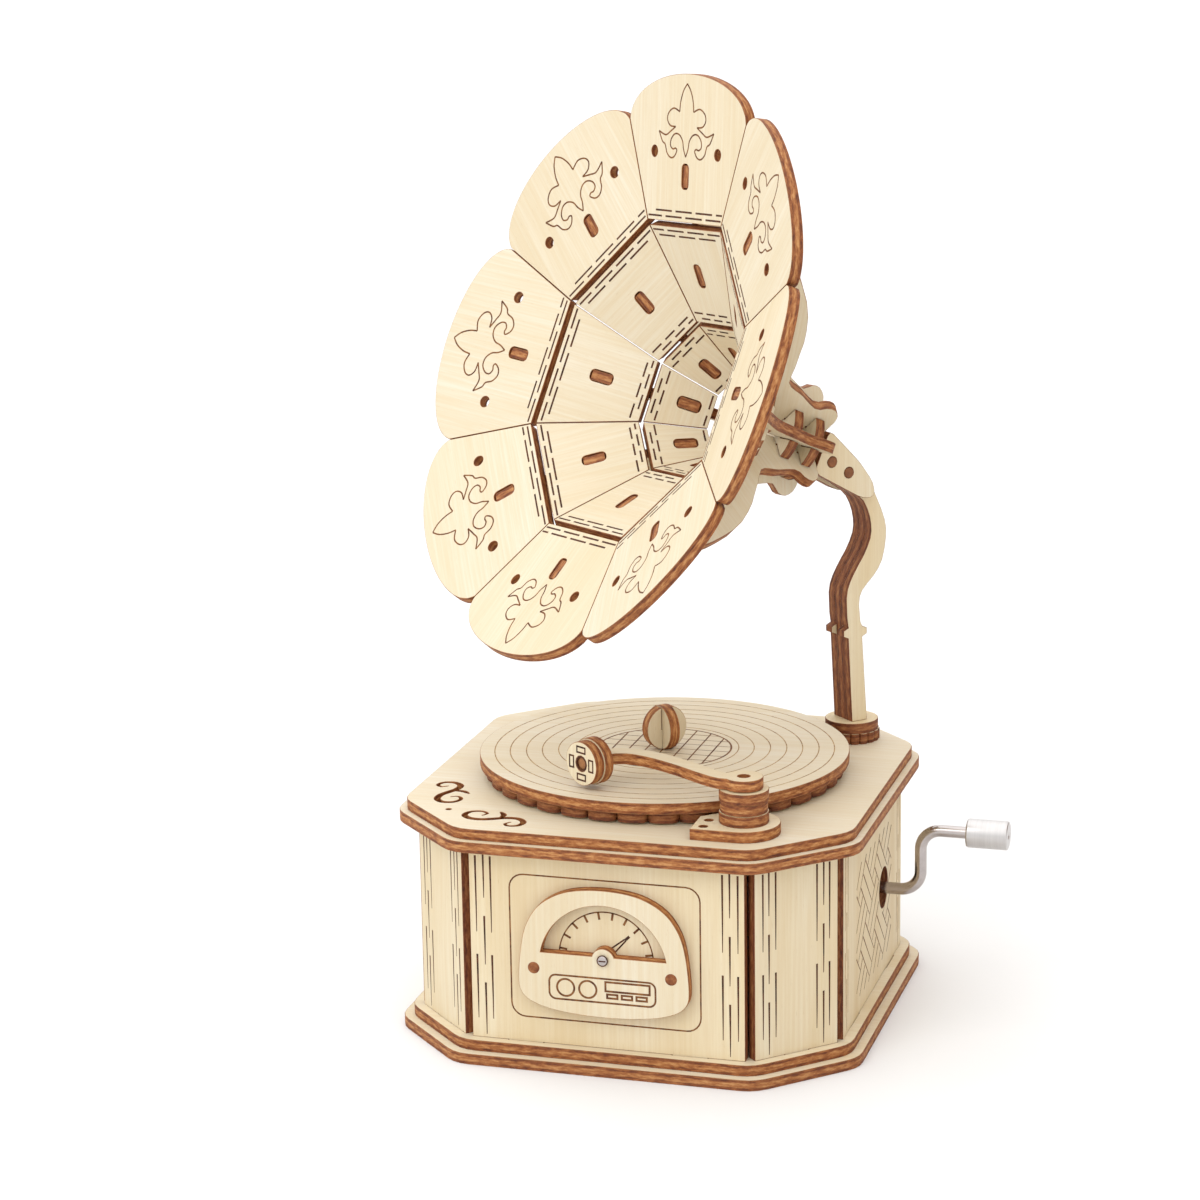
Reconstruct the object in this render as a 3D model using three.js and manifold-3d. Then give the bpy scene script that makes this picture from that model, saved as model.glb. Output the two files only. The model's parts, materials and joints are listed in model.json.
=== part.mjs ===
// Hand-crank music box built like a small horn gramophone from laser-cut plywood.
// Millimetres, +Z up. The dial faces -Y, the crank comes out on +X, and the origin is the
// centre of the base's underside.
import * as THREE from 'three';
import { mergeVertices } from 'three/addons/utils/BufferGeometryUtils.js';
import Module from 'manifold-3d';

const wasm = await Module();
wasm.setup();

// ---------------------------------------------------------------- driving dimensions
const PLY = 2.5; // every wooden sheet
const PLAY = 0.1; // between pieces that sit square to the axes
const GAP = 0.3; // between pieces in turned groups
const LAYER_GAP = 0.1; // between glued layers of the column

// Box: an octagon with four long and four short sides.
const BOX_HALF_X = 46;
const BOX_HALF_Y = 46.5;
const CORNER_LEG = 15;
const WALL_HEIGHT = 43.7;
const BASE_LIP_LOWER = 6.9;
const BASE_LIP_UPPER = 4.8;
const TOP_LIP_LOWER = 6.6;
const TOP_LIP_UPPER = 5.0;
const PLATE_CORNER_RADIUS = 8;
const LONG_TAB = 8;
const SHORT_TAB = 6;

// Dial on the front wall, measured from its needle's pivot
const DIAL_PIVOT_DROP = 0.55; // pivot below the middle of the wall
const BEZEL_HALF_WIDTH = 19.2;
const BEZEL_RISE = 15.8;
const BEZEL_DROP = 13.2;
const WINDOW_RADIUS = 14.4;
const WINDOW_DROP = 2.1;
const WINDOW_SILL = 0.7;
const DIAL_TAB_RADIUS = 2.6;
const DIAL_SCREW_RADIUS = 0.7;
const DIAL_SCREW_HEAD_RADIUS = 1.2;

// Turntable
const RECORD_RADIUS = 42;
const LOBE_COUNT = 36;
const LOBE_INSET = 1.3; // from the record's rim to the lobes' tips
const LOBE_DEPTH = 1.8;
const TURNTABLE_GAP = 0.4;
const SPINDLE_RADIUS = 1.5;
const SPINDLE_COLLAR_RADIUS = 4;
const KNOB_RADIUS = 5.1;
const KNOB_FOOT_HALF = 0.4 * PLY; // flat under each disc, narrower than the slot

// Tonearm
const POST_RADIUS = 5.4;
const POST_CLEARANCE = 1.3083; // between the post and the record
const POST_BEARING = Math.atan2(-39.5, 28.5);
const POST_LAYERS = 3;
const POST_GROOVE_DEPTH = 0.4;
const ARM_BASE_RADIUS = 7.9;
const ARM_BASE_LEFT = -10; // from the pivot
const ARM_HALF_WIDTH = 2.1;
const ARM_EYE_RADIUS = 4.2;
const ARM_PIN_RADIUS = 1.3;
const SOUND_BOX_TILT = THREE.MathUtils.degToRad(-121);
const SOUND_BOX_OFFSET = new THREE.Vector2(-37.6, 4.3); // from the pivot to the box's face
const SOUND_BOX_RADII = [4.9, 5.2];
const SOUND_BOX_BORE = 1.8;

// Column
const FOOT_RADII = [6.6, 6.2];
const FOOT_CLEARANCE = 1.8874; // between the foot and the record
const COLUMN_BEARING = Math.PI / 4;
const PEG_RADIUS = 1.2;

// Horn: an eight-sided bell of three rings, held by eight ribs.
const HORN_HEADING = THREE.MathUtils.degToRad(226.7);
const HORN_REACH = 58; // from the column's foot to the centre of the outer ring, level
const HORN_RISE = 91.8; // of that centre above the box
const HORN_PITCH = THREE.MathUtils.degToRad(23.9);
const HORN_ROLL = THREE.MathUtils.degToRad(3);
const SIDES = 8;
const RING_RADII = [61.1, 38.1, 18.5, 10.4]; // corner radii from the mouth inwards
const RING_Z = [7.6, 0, -16.1, -28.9]; // along the horn axis
const PETAL_RISE = 10.4; // how far the rounded end stands past its corners
const PETAL_HOLE_RADIUS = 1.3;
const PETAL_HOLE_X = 12.7;
const PETAL_HOLE_SHARE = 0.7; // how far up the petal its two holes lie
const TENON_LENGTH = 5;
const TENON_PLACES = [0.47, 0.5, 0.38];
const HUB_Z = [-39.6, -45.8];
const HUB_RADIUS = 9.4;
const HUB_CORE_RADIUS = 5.4;
const RIB_CLEARANCE = 0.3822; // from where neighbouring ribs would meet, at the axis
const RIB_END_Z = -49.7;
const RIB_TIP_SHARE = 0.86; // how far up the petal a rib reaches

// Crank and the musical movement inside
const CRANK_AXIS_Y = 11.5;
const CRANK_AXIS_Z = 25.7;
const CRANK_HOLE_RADIUS = 4.8;
const WIRE_RADIUS = 1.36;
const CRANK_THROW = 14.6;
const CRANK_ARM_OUT = 8.6; // from the wall's outer face to the wire's bend
const CRANK_BEND = 3.8;
const HANDLE_OUT = 10.7; // from the bend to the handle
const HANDLE_LENGTH = 9.4;
const HANDLE_RADIUS = 3.3;
const HANDLE_CAP = 1.4; // solid outer end of the handle
const WHEEL_TEETH = 16;
const WORM_PITCH = 2.36;
const WORM_ROOT = 1.9;
const WORM_TIP = 3.1;
const WORM_TURNS = 2.5;
const WORM_CLEARANCE = 0.4;
const WHEEL_THICKNESS = 1.6;
const CYLINDER_X = 24;
const CENTRE_DISTANCE = 8.8;
const BARREL_RADIUS = 6;
const BARREL_FRONT = -11;
const BARREL_BACK = 9;
const ARBOR_RADIUS = 1.2;
const ARBOR_END = 1.8; // past the inner face of each bearing
const BEARING_PLATE = 2;
const BEARING_HALF_WIDTH = 4;
const FRONT_BEARING_Y = -13.2;
const BACK_BEARING_Y = CRANK_AXIS_Y + 1.9;
const CRANK_BEARING_REACH = 9.5; // outer faces of the crank's bearings from the arbor, along X
const CRANK_BEARING_LENGTH = 2.3;
const COMB_TEETH = 18;
const COMB_FRONT = -10.6;
const COMB_BACK = 8;
const COMB_LENGTH = 12;
const COMB_THICKNESS = 1;
const COMB_TIP_GAP = 0.5;
const TOOTH_SHARE = 0.7; // of the pitch

// ---------------------------------------------------------------- derived levels
const Z_BASE_TOP = 2 * PLY;
const Z_WALL_TOP = Z_BASE_TOP + WALL_HEIGHT;
const Z_TOP = Z_WALL_TOP + 2 * PLY;
const Z_TURNTABLE = Z_TOP + TURNTABLE_GAP;
const Z_RECORD_TOP = Z_TURNTABLE + 2 * PLY;
const Z_ARM = Z_TOP + (1 + POST_LAYERS) * PLY + PLAY;
const CYLINDER_Z = CRANK_AXIS_Z - CENTRE_DISTANCE;
const DIAL_PIVOT_Z = Z_BASE_TOP + WALL_HEIGHT / 2 - DIAL_PIVOT_DROP;
const CRANK_ARM_X = BOX_HALF_X + PLY + CRANK_ARM_OUT;
const HANDLE_START_X = CRANK_ARM_X + HANDLE_OUT;
const bearingPoint = (bearing, distance) =>
  new THREE.Vector2(Math.cos(bearing), Math.sin(bearing)).multiplyScalar(distance);
const ARM_PIVOT = bearingPoint(POST_BEARING, RECORD_RADIUS + POST_CLEARANCE + POST_RADIUS);
const SOUND_BOX_FACE = ARM_PIVOT.clone().add(SOUND_BOX_OFFSET);
const COLUMN_FOOT = bearingPoint(COLUMN_BEARING, RECORD_RADIUS + FOOT_CLEARANCE + FOOT_RADII[0]);
const HORN_CENTRE = new THREE.Vector3(
  COLUMN_FOOT.x + HORN_REACH * Math.cos(HORN_HEADING),
  COLUMN_FOOT.y + HORN_REACH * Math.sin(HORN_HEADING),
  Z_TOP + HORN_RISE);
const HALF_SIDE = Math.PI / SIDES;
const RIB_INNER_RADIUS = PLY / 2 / Math.tan(HALF_SIDE) + RIB_CLEARANCE;
const FLAT = Math.cos(HALF_SIDE); // corner radius to flat distance

// ---------------------------------------------------------------- materials
const paint = (color, roughness, metalness) =>
  new THREE.MeshStandardMaterial({ color, roughness, metalness });
const WOOD = paint('#efe2c4', 0.75, 0);
const STEEL = paint('#c9c7c4', 0.25, 1);
const CAST = paint('#8d9094', 0.5, 0.9);
const BRASS = paint('#c9a65a', 0.35, 1);

// ---------------------------------------------------------------- helpers
const model = new THREE.Group();
const point = (x, y) => new THREE.Vector2(x, y);

function add(name, geometry, material, parent = model) {
  const mesh = new THREE.Mesh(geometry, material);
  mesh.name = name;
  parent.add(mesh);
  return mesh;
}

/** A sheet cut to an outline with holes, lying in XY and rising by its thickness. */
function sheet(outline, holes = [], thickness = PLY) {
  const shape = new THREE.Shape(outline);
  shape.holes = holes.map((hole) => new THREE.Path(hole));
  return new THREE.ExtrudeGeometry(shape, { depth: thickness, bevelEnabled: false });
}

function circle(radius, segments, centre = point(0, 0), start = 0) {
  const step = (2 * Math.PI) / segments;
  const at = (i) => point(Math.cos(start + i * step), Math.sin(start + i * step));
  return Array.from({ length: segments }, (_, i) => at(i).multiplyScalar(radius).add(centre));
}

function arc(radius, from, to, steps, centre = point(0, 0)) {
  const angle = (i) => from + ((to - from) * i) / steps;
  const at = (a) => point(Math.cos(a), Math.sin(a)).multiplyScalar(radius).add(centre);
  return Array.from({ length: steps + 1 }, (_, i) => at(angle(i)));
}

function rectangle(x0, y0, x1, y1) {
  return [point(x0, y0), point(x1, y0), point(x1, y1), point(x0, y1)];
}

/** The outline with each corner replaced by a curve that starts `reach` before it. */
function roundCorners(outline, reach, steps = 3) {
  return outline.flatMap((corner, i) => {
    const previous = outline[(i + outline.length - 1) % outline.length];
    const next = outline[(i + 1) % outline.length];
    const toward = (other) => {
      const way = other.clone().sub(corner);
      return corner.clone().addScaledVector(way, Math.min(reach / way.length(), 0.45));
    };
    return new THREE.QuadraticBezierCurve(toward(previous), corner, toward(next)).getPoints(steps);
  });
}

function splineThrough(points, steps) {
  return new THREE.SplineCurve(points).getPoints(steps);
}

/** Merge a mesh's vertices and turn it into a solid for joining and cutting. */
function solid(geometry) {
  const bare = geometry.clone();
  bare.deleteAttribute('normal');
  bare.deleteAttribute('uv');
  const merged = mergeVertices(bare, 1e-4);
  const vertProperties = new Float32Array(merged.attributes.position.array);
  const triVerts = new Uint32Array(merged.index.array);
  return new wasm.Manifold(new wasm.Mesh({ numProp: 3, vertProperties, triVerts }));
}

function surface(body) {
  const mesh = body.getMesh();
  const geometry = new THREE.BufferGeometry();
  const positions = new THREE.BufferAttribute(new Float32Array(mesh.vertProperties), 3);
  geometry.setAttribute('position', positions);
  geometry.setIndex(new THREE.BufferAttribute(new Uint32Array(mesh.triVerts), 1));
  return geometry;
}

const join = (...parts) => surface(parts.map(solid).reduce((sum, part) => sum.add(part)));
const cut = (body, ...cutters) =>
  surface(cutters.map(solid).reduce((rest, cutter) => rest.subtract(cutter), solid(body)));

function box(x0, y0, z0, x1, y1, z1) {
  const geometry = new THREE.BoxGeometry(x1 - x0, y1 - y0, z1 - z0);
  return geometry.translate((x0 + x1) / 2, (y0 + y1) / 2, (z0 + z1) / 2);
}

/** Stand a sheet up: its X stays, its Y becomes +Z and it is centred across local Y. */
const upright = (geometry, offset = 0, thickness = PLY) =>
  geometry.rotateX(Math.PI / 2).translate(0, offset + thickness / 2, 0);

/** A round bar along X, Y or Z between two places on its axis. */
function bar(axis, radius, from, to, segments = 16) {
  const geometry = new THREE.CylinderGeometry(radius, radius, to - from, segments);
  geometry.translate(0, (from + to) / 2, 0);
  if (axis === 'x') geometry.rotateZ(-Math.PI / 2);
  if (axis === 'z') geometry.rotateX(Math.PI / 2);
  return geometry;
}

// ---------------------------------------------------------------- the box
/** Corners of the box's octagon, grown outwards by `lip`, anticlockwise from front left. */
function octagon(lip) {
  const x = BOX_HALF_X + lip;
  const y = BOX_HALF_Y + lip;
  const diagonal = BOX_HALF_X + BOX_HALF_Y - CORNER_LEG + lip * Math.SQRT2;
  const frontX = diagonal - y;
  const sideY = diagonal - x;
  return [
    point(-frontX, -y), point(frontX, -y), point(x, -sideY), point(x, sideY),
    point(frontX, y), point(-frontX, y), point(-x, sideY), point(-x, -sideY),
  ];
}

const WALL_NAMES = [
  'front_panel', 'corner_panel_front_right', 'right_panel', 'corner_panel_back_right',
  'back_panel', 'corner_panel_back_left', 'left_panel', 'corner_panel_front_left',
];

/** Where each wall stands: the middle of its inner face, its run and its outward normal. */
function wallPlaces() {
  const corners = octagon(0);
  return WALL_NAMES.map((name, i) => {
    const start = corners[i];
    const end = corners[(i + 1) % corners.length];
    const along = end.clone().sub(start);
    const width = along.length();
    along.normalize();
    const isLong = i % 2 === 0;
    return {
      name,
      width,
      along,
      outward: point(along.y, -along.x),
      middle: start.clone().add(end).multiplyScalar(0.5),
      tabWidth: isLong ? LONG_TAB : SHORT_TAB,
      tabs: isLong ? [-0.3 * width, 0.3 * width] : [0],
    };
  });
}

/** A wall's outline: a rectangle with tabs that plug into the plates above and below. */
function wallOutline(place) {
  const half = place.width / 2 - PLAY;
  const reach = PLY - PLAY;
  const edge = (z, tip, direction) =>
    [...place.tabs].sort((a, b) => direction * (a - b)).flatMap((centre) => {
      const near = centre - (direction * place.tabWidth) / 2;
      const far = centre + (direction * place.tabWidth) / 2;
      return [point(near, z), point(near, tip), point(far, tip), point(far, z)];
    });
  return [
    point(-half, Z_BASE_TOP), ...edge(Z_BASE_TOP, Z_BASE_TOP - reach, 1), point(half, Z_BASE_TOP),
    point(half, Z_WALL_TOP), ...edge(Z_WALL_TOP, Z_WALL_TOP + reach, -1), point(-half, Z_WALL_TOP),
  ];
}

/** Slots for every wall tab, as holes in the plates that the tabs plug into. */
function tabSlots() {
  return wallPlaces().flatMap((place) => place.tabs.map((centre) => {
    const half = place.tabWidth / 2 + PLAY;
    return rectangle(centre - half, -PLAY, centre + half, PLY + PLAY).map((corner) =>
      place.middle.clone()
        .addScaledVector(place.along, corner.x)
        .addScaledVector(place.outward, corner.y));
  }));
}

function plate(name, lip, z, holes) {
  const outline = roundCorners(octagon(lip), PLATE_CORNER_RADIUS * Math.tan(Math.PI / 8));
  const cutters = holes.map((hole) => sheet(hole, [], PLY + 2).translate(0, 0, -1));
  add(name, cut(sheet(outline), ...cutters), WOOD).position.z = z;
}

/** Strokes of one vine scroll, measured from the box's front left corner. */
const SCROLL_STROKES = [
  { halfWidth: 0.75, line: [
    point(1.8, 23.6), point(0.4, 22.7), point(-0.8, 23.9), point(0, 25.9), point(2.4, 26.3),
    point(4.4, 24.5), point(4.4, 21.7), point(3.2, 19.2), point(2.2, 16.6), point(2.5, 13.8),
    point(4.4, 12.1), point(6.8, 12.7), point(7.7, 14.9), point(6.5, 16.7), point(4.9, 16),
  ] },
  { halfWidth: 0.6, line: [point(4.1, 20.4), point(6.2, 20.6), point(8.2, 19.2)] },
];
const BERRY_RADIUS = 0.65;
const BERRY_INSET = 7.4;

/** The outline of a tapering stroke drawn along a smooth line. */
function stroke({ halfWidth, line }) {
  const middle = new THREE.SplineCurve(line);
  const steps = line.length * 3;
  const side = (sign) => Array.from({ length: steps + 1 }, (_, i) => {
    const tangent = middle.getTangent(i / steps);
    const half = halfWidth * (0.2 + 0.8 * Math.sin((Math.PI * i) / steps));
    return middle.getPoint(i / steps).add(point(-tangent.y, tangent.x).multiplyScalar(sign * half));
  });
  return [...side(1), ...side(-1).reverse()];
}

/** The cut-out ornament: a scroll, its mirror image across the corner, and a berry between. */
function ornamentOutlines() {
  const corner = point(-BOX_HALF_X, -BOX_HALF_Y);
  const scroll = SCROLL_STROKES.map(stroke);
  const twin = scroll.map((outline) => outline.map((p) => point(p.y, p.x)).reverse());
  const berry = circle(BERRY_RADIUS, 12, point(BERRY_INSET, BERRY_INSET));
  return [...scroll, ...twin, berry].map((outline) => outline.map((p) => p.add(corner)));
}

function buildBox() {
  plate('base_plate_lower', BASE_LIP_LOWER, 0, []);
  plate('base_plate_upper', BASE_LIP_UPPER, PLY, tabSlots());
  const spindleHole = circle(SPINDLE_RADIUS + GAP, 16);
  plate('top_plate_lower', TOP_LIP_LOWER, Z_WALL_TOP, [spindleHole, ...tabSlots()]);
  plate('top_plate_upper', TOP_LIP_UPPER, Z_WALL_TOP + PLY, [spindleHole, ...ornamentOutlines()]);

  for (const place of wallPlaces()) {
    const isRight = place.name === 'right_panel';
    const crankHole = circle(CRANK_HOLE_RADIUS, 24, point(CRANK_AXIS_Y, CRANK_AXIS_Z));
    const wall = add(place.name, sheet(wallOutline(place), isRight ? [crankHole] : []), WOOD);
    const along = new THREE.Vector3(place.along.x, place.along.y, 0);
    const outward = new THREE.Vector3(place.outward.x, place.outward.y, 0);
    const basis = new THREE.Matrix4().makeBasis(along, new THREE.Vector3(0, 0, 1), outward);
    wall.quaternion.setFromRotationMatrix(basis);
    wall.position.set(place.middle.x, place.middle.y, 0);
  }
}

// ---------------------------------------------------------------- the dial
function bezelOutline() {
  const half = [
    point(0, -BEZEL_DROP), point(9, 0.5 - BEZEL_DROP), point(16.6, 2 - BEZEL_DROP),
    point(18.9, 4.4 - BEZEL_DROP), point(BEZEL_HALF_WIDTH, 8 - BEZEL_DROP),
    point(18.2, 3.7), point(16.2, 8.9), point(12.9, 12.5), point(7.5, 15),
  ];
  const mirrored = half.slice(1).reverse().map((p) => point(-p.x, p.y));
  return [...half, point(0, BEZEL_RISE), ...mirrored];
}

function windowOutline() {
  const centre = point(0, -WINDOW_DROP);
  const sill = Math.asin((WINDOW_SILL + WINDOW_DROP) / WINDOW_RADIUS);
  const tabAngle = Math.asin(WINDOW_SILL / DIAL_TAB_RADIUS);
  const tab = arc(DIAL_TAB_RADIUS, Math.PI - tabAngle, tabAngle, 8);
  return [...arc(WINDOW_RADIUS, sill, Math.PI - sill, 20, centre), ...tab];
}

function buildDial() {
  const wallFace = -(BOX_HALF_Y + PLY);
  const bezel = upright(sheet(bezelOutline(), [windowOutline(), circle(DIAL_SCREW_RADIUS + PLAY, 12)]));
  add('dial_bezel', bezel, WOOD).position.set(0, wallFace - PLAY / 2 - PLY / 2, DIAL_PIVOT_Z);
  const shank = bar('y', DIAL_SCREW_RADIUS, -PLY - 0.5, 0, 12);
  const head = bar('y', DIAL_SCREW_HEAD_RADIUS, -PLY - 0.8, -PLY - PLAY, 16);
  const screw = add('dial_screw', join(shank, head), STEEL);
  screw.position.set(0, wallFace - PLAY, DIAL_PIVOT_Z);
}

// ---------------------------------------------------------------- the turntable
function lobedOutline(count, tip, root) {
  const pitch = (2 * Math.PI) / count;
  const shape = [[0, root], [0.09, tip - 0.35], [0.3, tip], [0.7, tip], [0.91, tip - 0.35]];
  return Array.from({ length: count }, (_, i) =>
    shape.map(([share, radius]) => {
      const angle = (i + share) * pitch;
      return point(radius * Math.cos(angle), radius * Math.sin(angle));
    })).flat();
}

/** A standing disc with a flat foot and a half-height slot for its crossing partner. */
function knobDisc(slotFromTop) {
  const centreZ = Math.sqrt(KNOB_RADIUS ** 2 - KNOB_FOOT_HALF ** 2) - PLAY;
  const footAngle = Math.asin(-centreZ / KNOB_RADIUS);
  const rim = arc(KNOB_RADIUS, footAngle, Math.PI - footAngle, 28, point(0, centreZ));
  const disc = upright(sheet(rim));
  const half = PLY / 2 + GAP / 2;
  const low = slotFromTop ? centreZ - GAP / 2 : -1;
  const high = slotFromTop ? centreZ + KNOB_RADIUS + 1 : centreZ + GAP / 2;
  return cut(disc, box(-half, -PLY, low, half, PLY, high));
}

function buildTurntable() {
  const bore = circle(SPINDLE_RADIUS + PLAY, 16);
  const lobeTip = RECORD_RADIUS - LOBE_INSET;
  const lobes = lobedOutline(LOBE_COUNT, lobeTip, lobeTip - LOBE_DEPTH);
  add('scalloped_disc', sheet(lobes, [bore]), WOOD).position.z = Z_TURNTABLE;
  add('record_disc', sheet(circle(RECORD_RADIUS, 72), [bore]), WOOD).position.z = Z_TURNTABLE + PLY;

  const collarTop = Z_WALL_TOP - GAP;
  const profile = [
    point(0, collarTop - PLY), point(SPINDLE_COLLAR_RADIUS, collarTop - PLY),
    point(SPINDLE_COLLAR_RADIUS, collarTop), point(SPINDLE_RADIUS, collarTop),
    point(SPINDLE_RADIUS, Z_RECORD_TOP), point(0, Z_RECORD_TOP),
  ];
  add('turntable_spindle', new THREE.LatheGeometry(profile, 16).rotateX(Math.PI / 2), WOOD);

  ['knob_disc_a', 'knob_disc_b'].forEach((name, i) => {
    const disc = add(name, knobDisc(i === 0), WOOD);
    disc.position.z = Z_RECORD_TOP + PLAY;
    disc.rotation.z = Math.PI / 4 + (i * Math.PI) / 2;
  });
}

// ---------------------------------------------------------------- the tonearm
/** The base plate's outline, measured from the pivot: a round end and a square one. */
function armBaseOutline() {
  const shoulder = THREE.MathUtils.degToRad(118);
  return [
    point(ARM_BASE_LEFT, -ARM_BASE_RADIUS), ...arc(ARM_BASE_RADIUS, -Math.PI / 2, shoulder, 18),
    point(ARM_BASE_LEFT, 1.1),
  ];
}

/** The arm's curved strip, measured from the pivot, and the middle of the sound box's back. */
function armStrip() {
  const back = point(Math.cos(SOUND_BOX_TILT), Math.sin(SOUND_BOX_TILT)).multiplyScalar(-1);
  const boxBack = SOUND_BOX_OFFSET.clone().addScaledVector(back, 2 * PLY + 3 * GAP);
  const line = new THREE.SplineCurve([
    point(0, 0), point(-4.1, -0.8), point(-9, 1.9), point(-15.6, 6.5), point(-22.1, 10.2),
    point(-27.7, 12.1), point(-32.1, 11.5), boxBack,
  ]);
  const steps = 20;
  const side = (sign) => Array.from({ length: steps + 1 }, (_, i) => {
    const tangent = line.getTangent(i / steps);
    const across = point(-tangent.y, tangent.x).multiplyScalar(sign * ARM_HALF_WIDTH);
    return line.getPoint(i / steps).add(across);
  });
  return { outline: [...side(1), ...side(-1).reverse()], boxBack };
}

function buildTonearm() {
  const pinHole = circle(ARM_PIN_RADIUS + PLAY, 12);
  const base = sheet(armBaseOutline(), [
    pinHole, circle(1, 12, point(-7.5, -1.1)), circle(1, 12, point(-7.6, -5.5)),
  ]);
  add('tonearm_base', base, WOOD).position.set(ARM_PIVOT.x, ARM_PIVOT.y, Z_TOP);

  const grooves = Array.from({ length: POST_LAYERS - 1 }, (_, i) => (i + 1) * PLY);
  const profile = [point(ARM_PIN_RADIUS + PLAY, 0), point(POST_RADIUS, 0)];
  for (const z of grooves) {
    const bottom = point(POST_RADIUS - POST_GROOVE_DEPTH, z);
    profile.push(point(POST_RADIUS, z - PLAY), bottom, point(POST_RADIUS, z + PLAY));
  }
  const height = POST_LAYERS * PLY;
  profile.push(point(POST_RADIUS, height), point(ARM_PIN_RADIUS + PLAY, height), profile[0].clone());
  const post = add('tonearm_post', new THREE.LatheGeometry(profile, 20).rotateX(Math.PI / 2), WOOD);
  post.position.set(ARM_PIVOT.x, ARM_PIVOT.y, Z_TOP + PLY);

  const { outline, boxBack } = armStrip();
  const tenon = sheet(rectangle(-1, -0.8, 2 * PLY, 0.8));
  tenon.rotateZ(SOUND_BOX_TILT).translate(boxBack.x, boxBack.y, 0);
  const blank = join(sheet(outline), sheet(circle(ARM_EYE_RADIUS, 24)), tenon);
  const arm = cut(blank, sheet(pinHole, [], PLY + 2).translate(0, 0, -1));
  add('tonearm', arm, WOOD).position.set(ARM_PIVOT.x, ARM_PIVOT.y, Z_ARM);

  const pivot = bar('z', ARM_PIN_RADIUS, Z_TOP, Z_ARM + PLY - 1, 12);
  add('tonearm_pin', pivot, WOOD).position.set(ARM_PIVOT.x, ARM_PIVOT.y, 0);

  const group = new THREE.Group();
  group.position.set(SOUND_BOX_FACE.x, SOUND_BOX_FACE.y, Z_ARM + PLY / 2);
  group.rotation.z = SOUND_BOX_TILT + Math.PI / 2;
  model.add(group);
  SOUND_BOX_RADII.forEach((radius, i) => {
    const disc = sheet(circle(radius, 32), [circle(SOUND_BOX_BORE, 12)], PLY - LAYER_GAP);
    const name = i === 0 ? 'sound_box_front' : 'sound_box_back';
    add(name, disc.rotateX(Math.PI / 2), WOOD, group).position.y = (i + 1) * PLY - LAYER_GAP;
  });
}

// ---------------------------------------------------------------- the column
const COLUMN_FRONT = [
  point(2.4, 0), point(3.5, 20.3), point(4.1, 29.3), point(3.4, 33), point(1.4, 36.6),
  point(-0.8, 39.8), point(-2.5, 43.4), point(-2.7, 46.4), point(-1.9, 49.8), point(0, 53.1),
  point(4, 56.1), point(8.3, 58.5),
];
const COLUMN_BACK = [
  point(1.4, 62.2), point(-2.2, 56.9), point(-4.6, 52.2), point(-6.6, 47.3), point(-7, 43.3),
  point(-5.9, 37.8), point(-3.6, 34.4), point(-0.4, 31.3), point(0.5, 27.8), point(-0.4, 20.3),
  point(-1.8, 0),
];
const HUB_DROP = -0.6; // how far below the horn axis the column's head is centred

/** A place given along and above the horn axis, in the column's own frame. */
function onHornAxis(axial, rise) {
  const reach = Math.hypot(HORN_CENTRE.x - COLUMN_FOOT.x, HORN_CENTRE.y - COLUMN_FOOT.y);
  const x = reach + axial * Math.cos(HORN_PITCH) - rise * Math.sin(HORN_PITCH);
  const z = HORN_CENTRE.z + axial * Math.sin(HORN_PITCH) + rise * Math.cos(HORN_PITCH);
  return point(x, z - Z_TOP - 2 * PLY);
}

/** The S-shaped side of the column, ending square behind the horn's hub. */
function columnOutline(collar, tongue) {
  const headZ = RIB_END_Z - GAP;
  const tongueHalf = 2;
  const head = tongue
    ? [
      onHornAxis(headZ, HUB_DROP - 4.5), onHornAxis(headZ, -tongueHalf),
      onHornAxis(HUB_Z[1] + PLY, -tongueHalf), onHornAxis(HUB_Z[1] + PLY, tongueHalf),
      onHornAxis(headZ, tongueHalf), onHornAxis(headZ, HUB_DROP + 4.5),
    ]
    : [onHornAxis(headZ, HUB_DROP - 4.5), onHornAxis(headZ, HUB_DROP + 4.5)];
  const bump = (x, sign) => collar
    ? [point(x, 20.2), point(x + sign * 1.3, 20.8), point(x + sign * 1.3, 22.2), point(x, 22.8)]
    : [];
  const front = splineThrough(COLUMN_FRONT.slice(1), 18);
  const back = splineThrough(COLUMN_BACK.slice(0, -1), 18);
  front[0] = point(3.6, 23.2);
  back[back.length - 1] = point(-0.2, 23.2);
  return [COLUMN_FRONT[0], ...bump(3.5, 1), ...front, ...head, ...back,
    ...bump(-0.4, -1).reverse(), COLUMN_BACK.at(-1)];
}

function cheekOutline() {
  const headZ = RIB_END_Z - GAP;
  return roundCorners([
    onHornAxis(headZ, HUB_DROP + 5.2), point(2.2, 62.4), point(-1.6, 57.2), point(-2.2, 53.6),
    point(1.4, 53.7), onHornAxis(headZ, HUB_DROP - 5.2),
  ], 1.6, 2);
}

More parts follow.
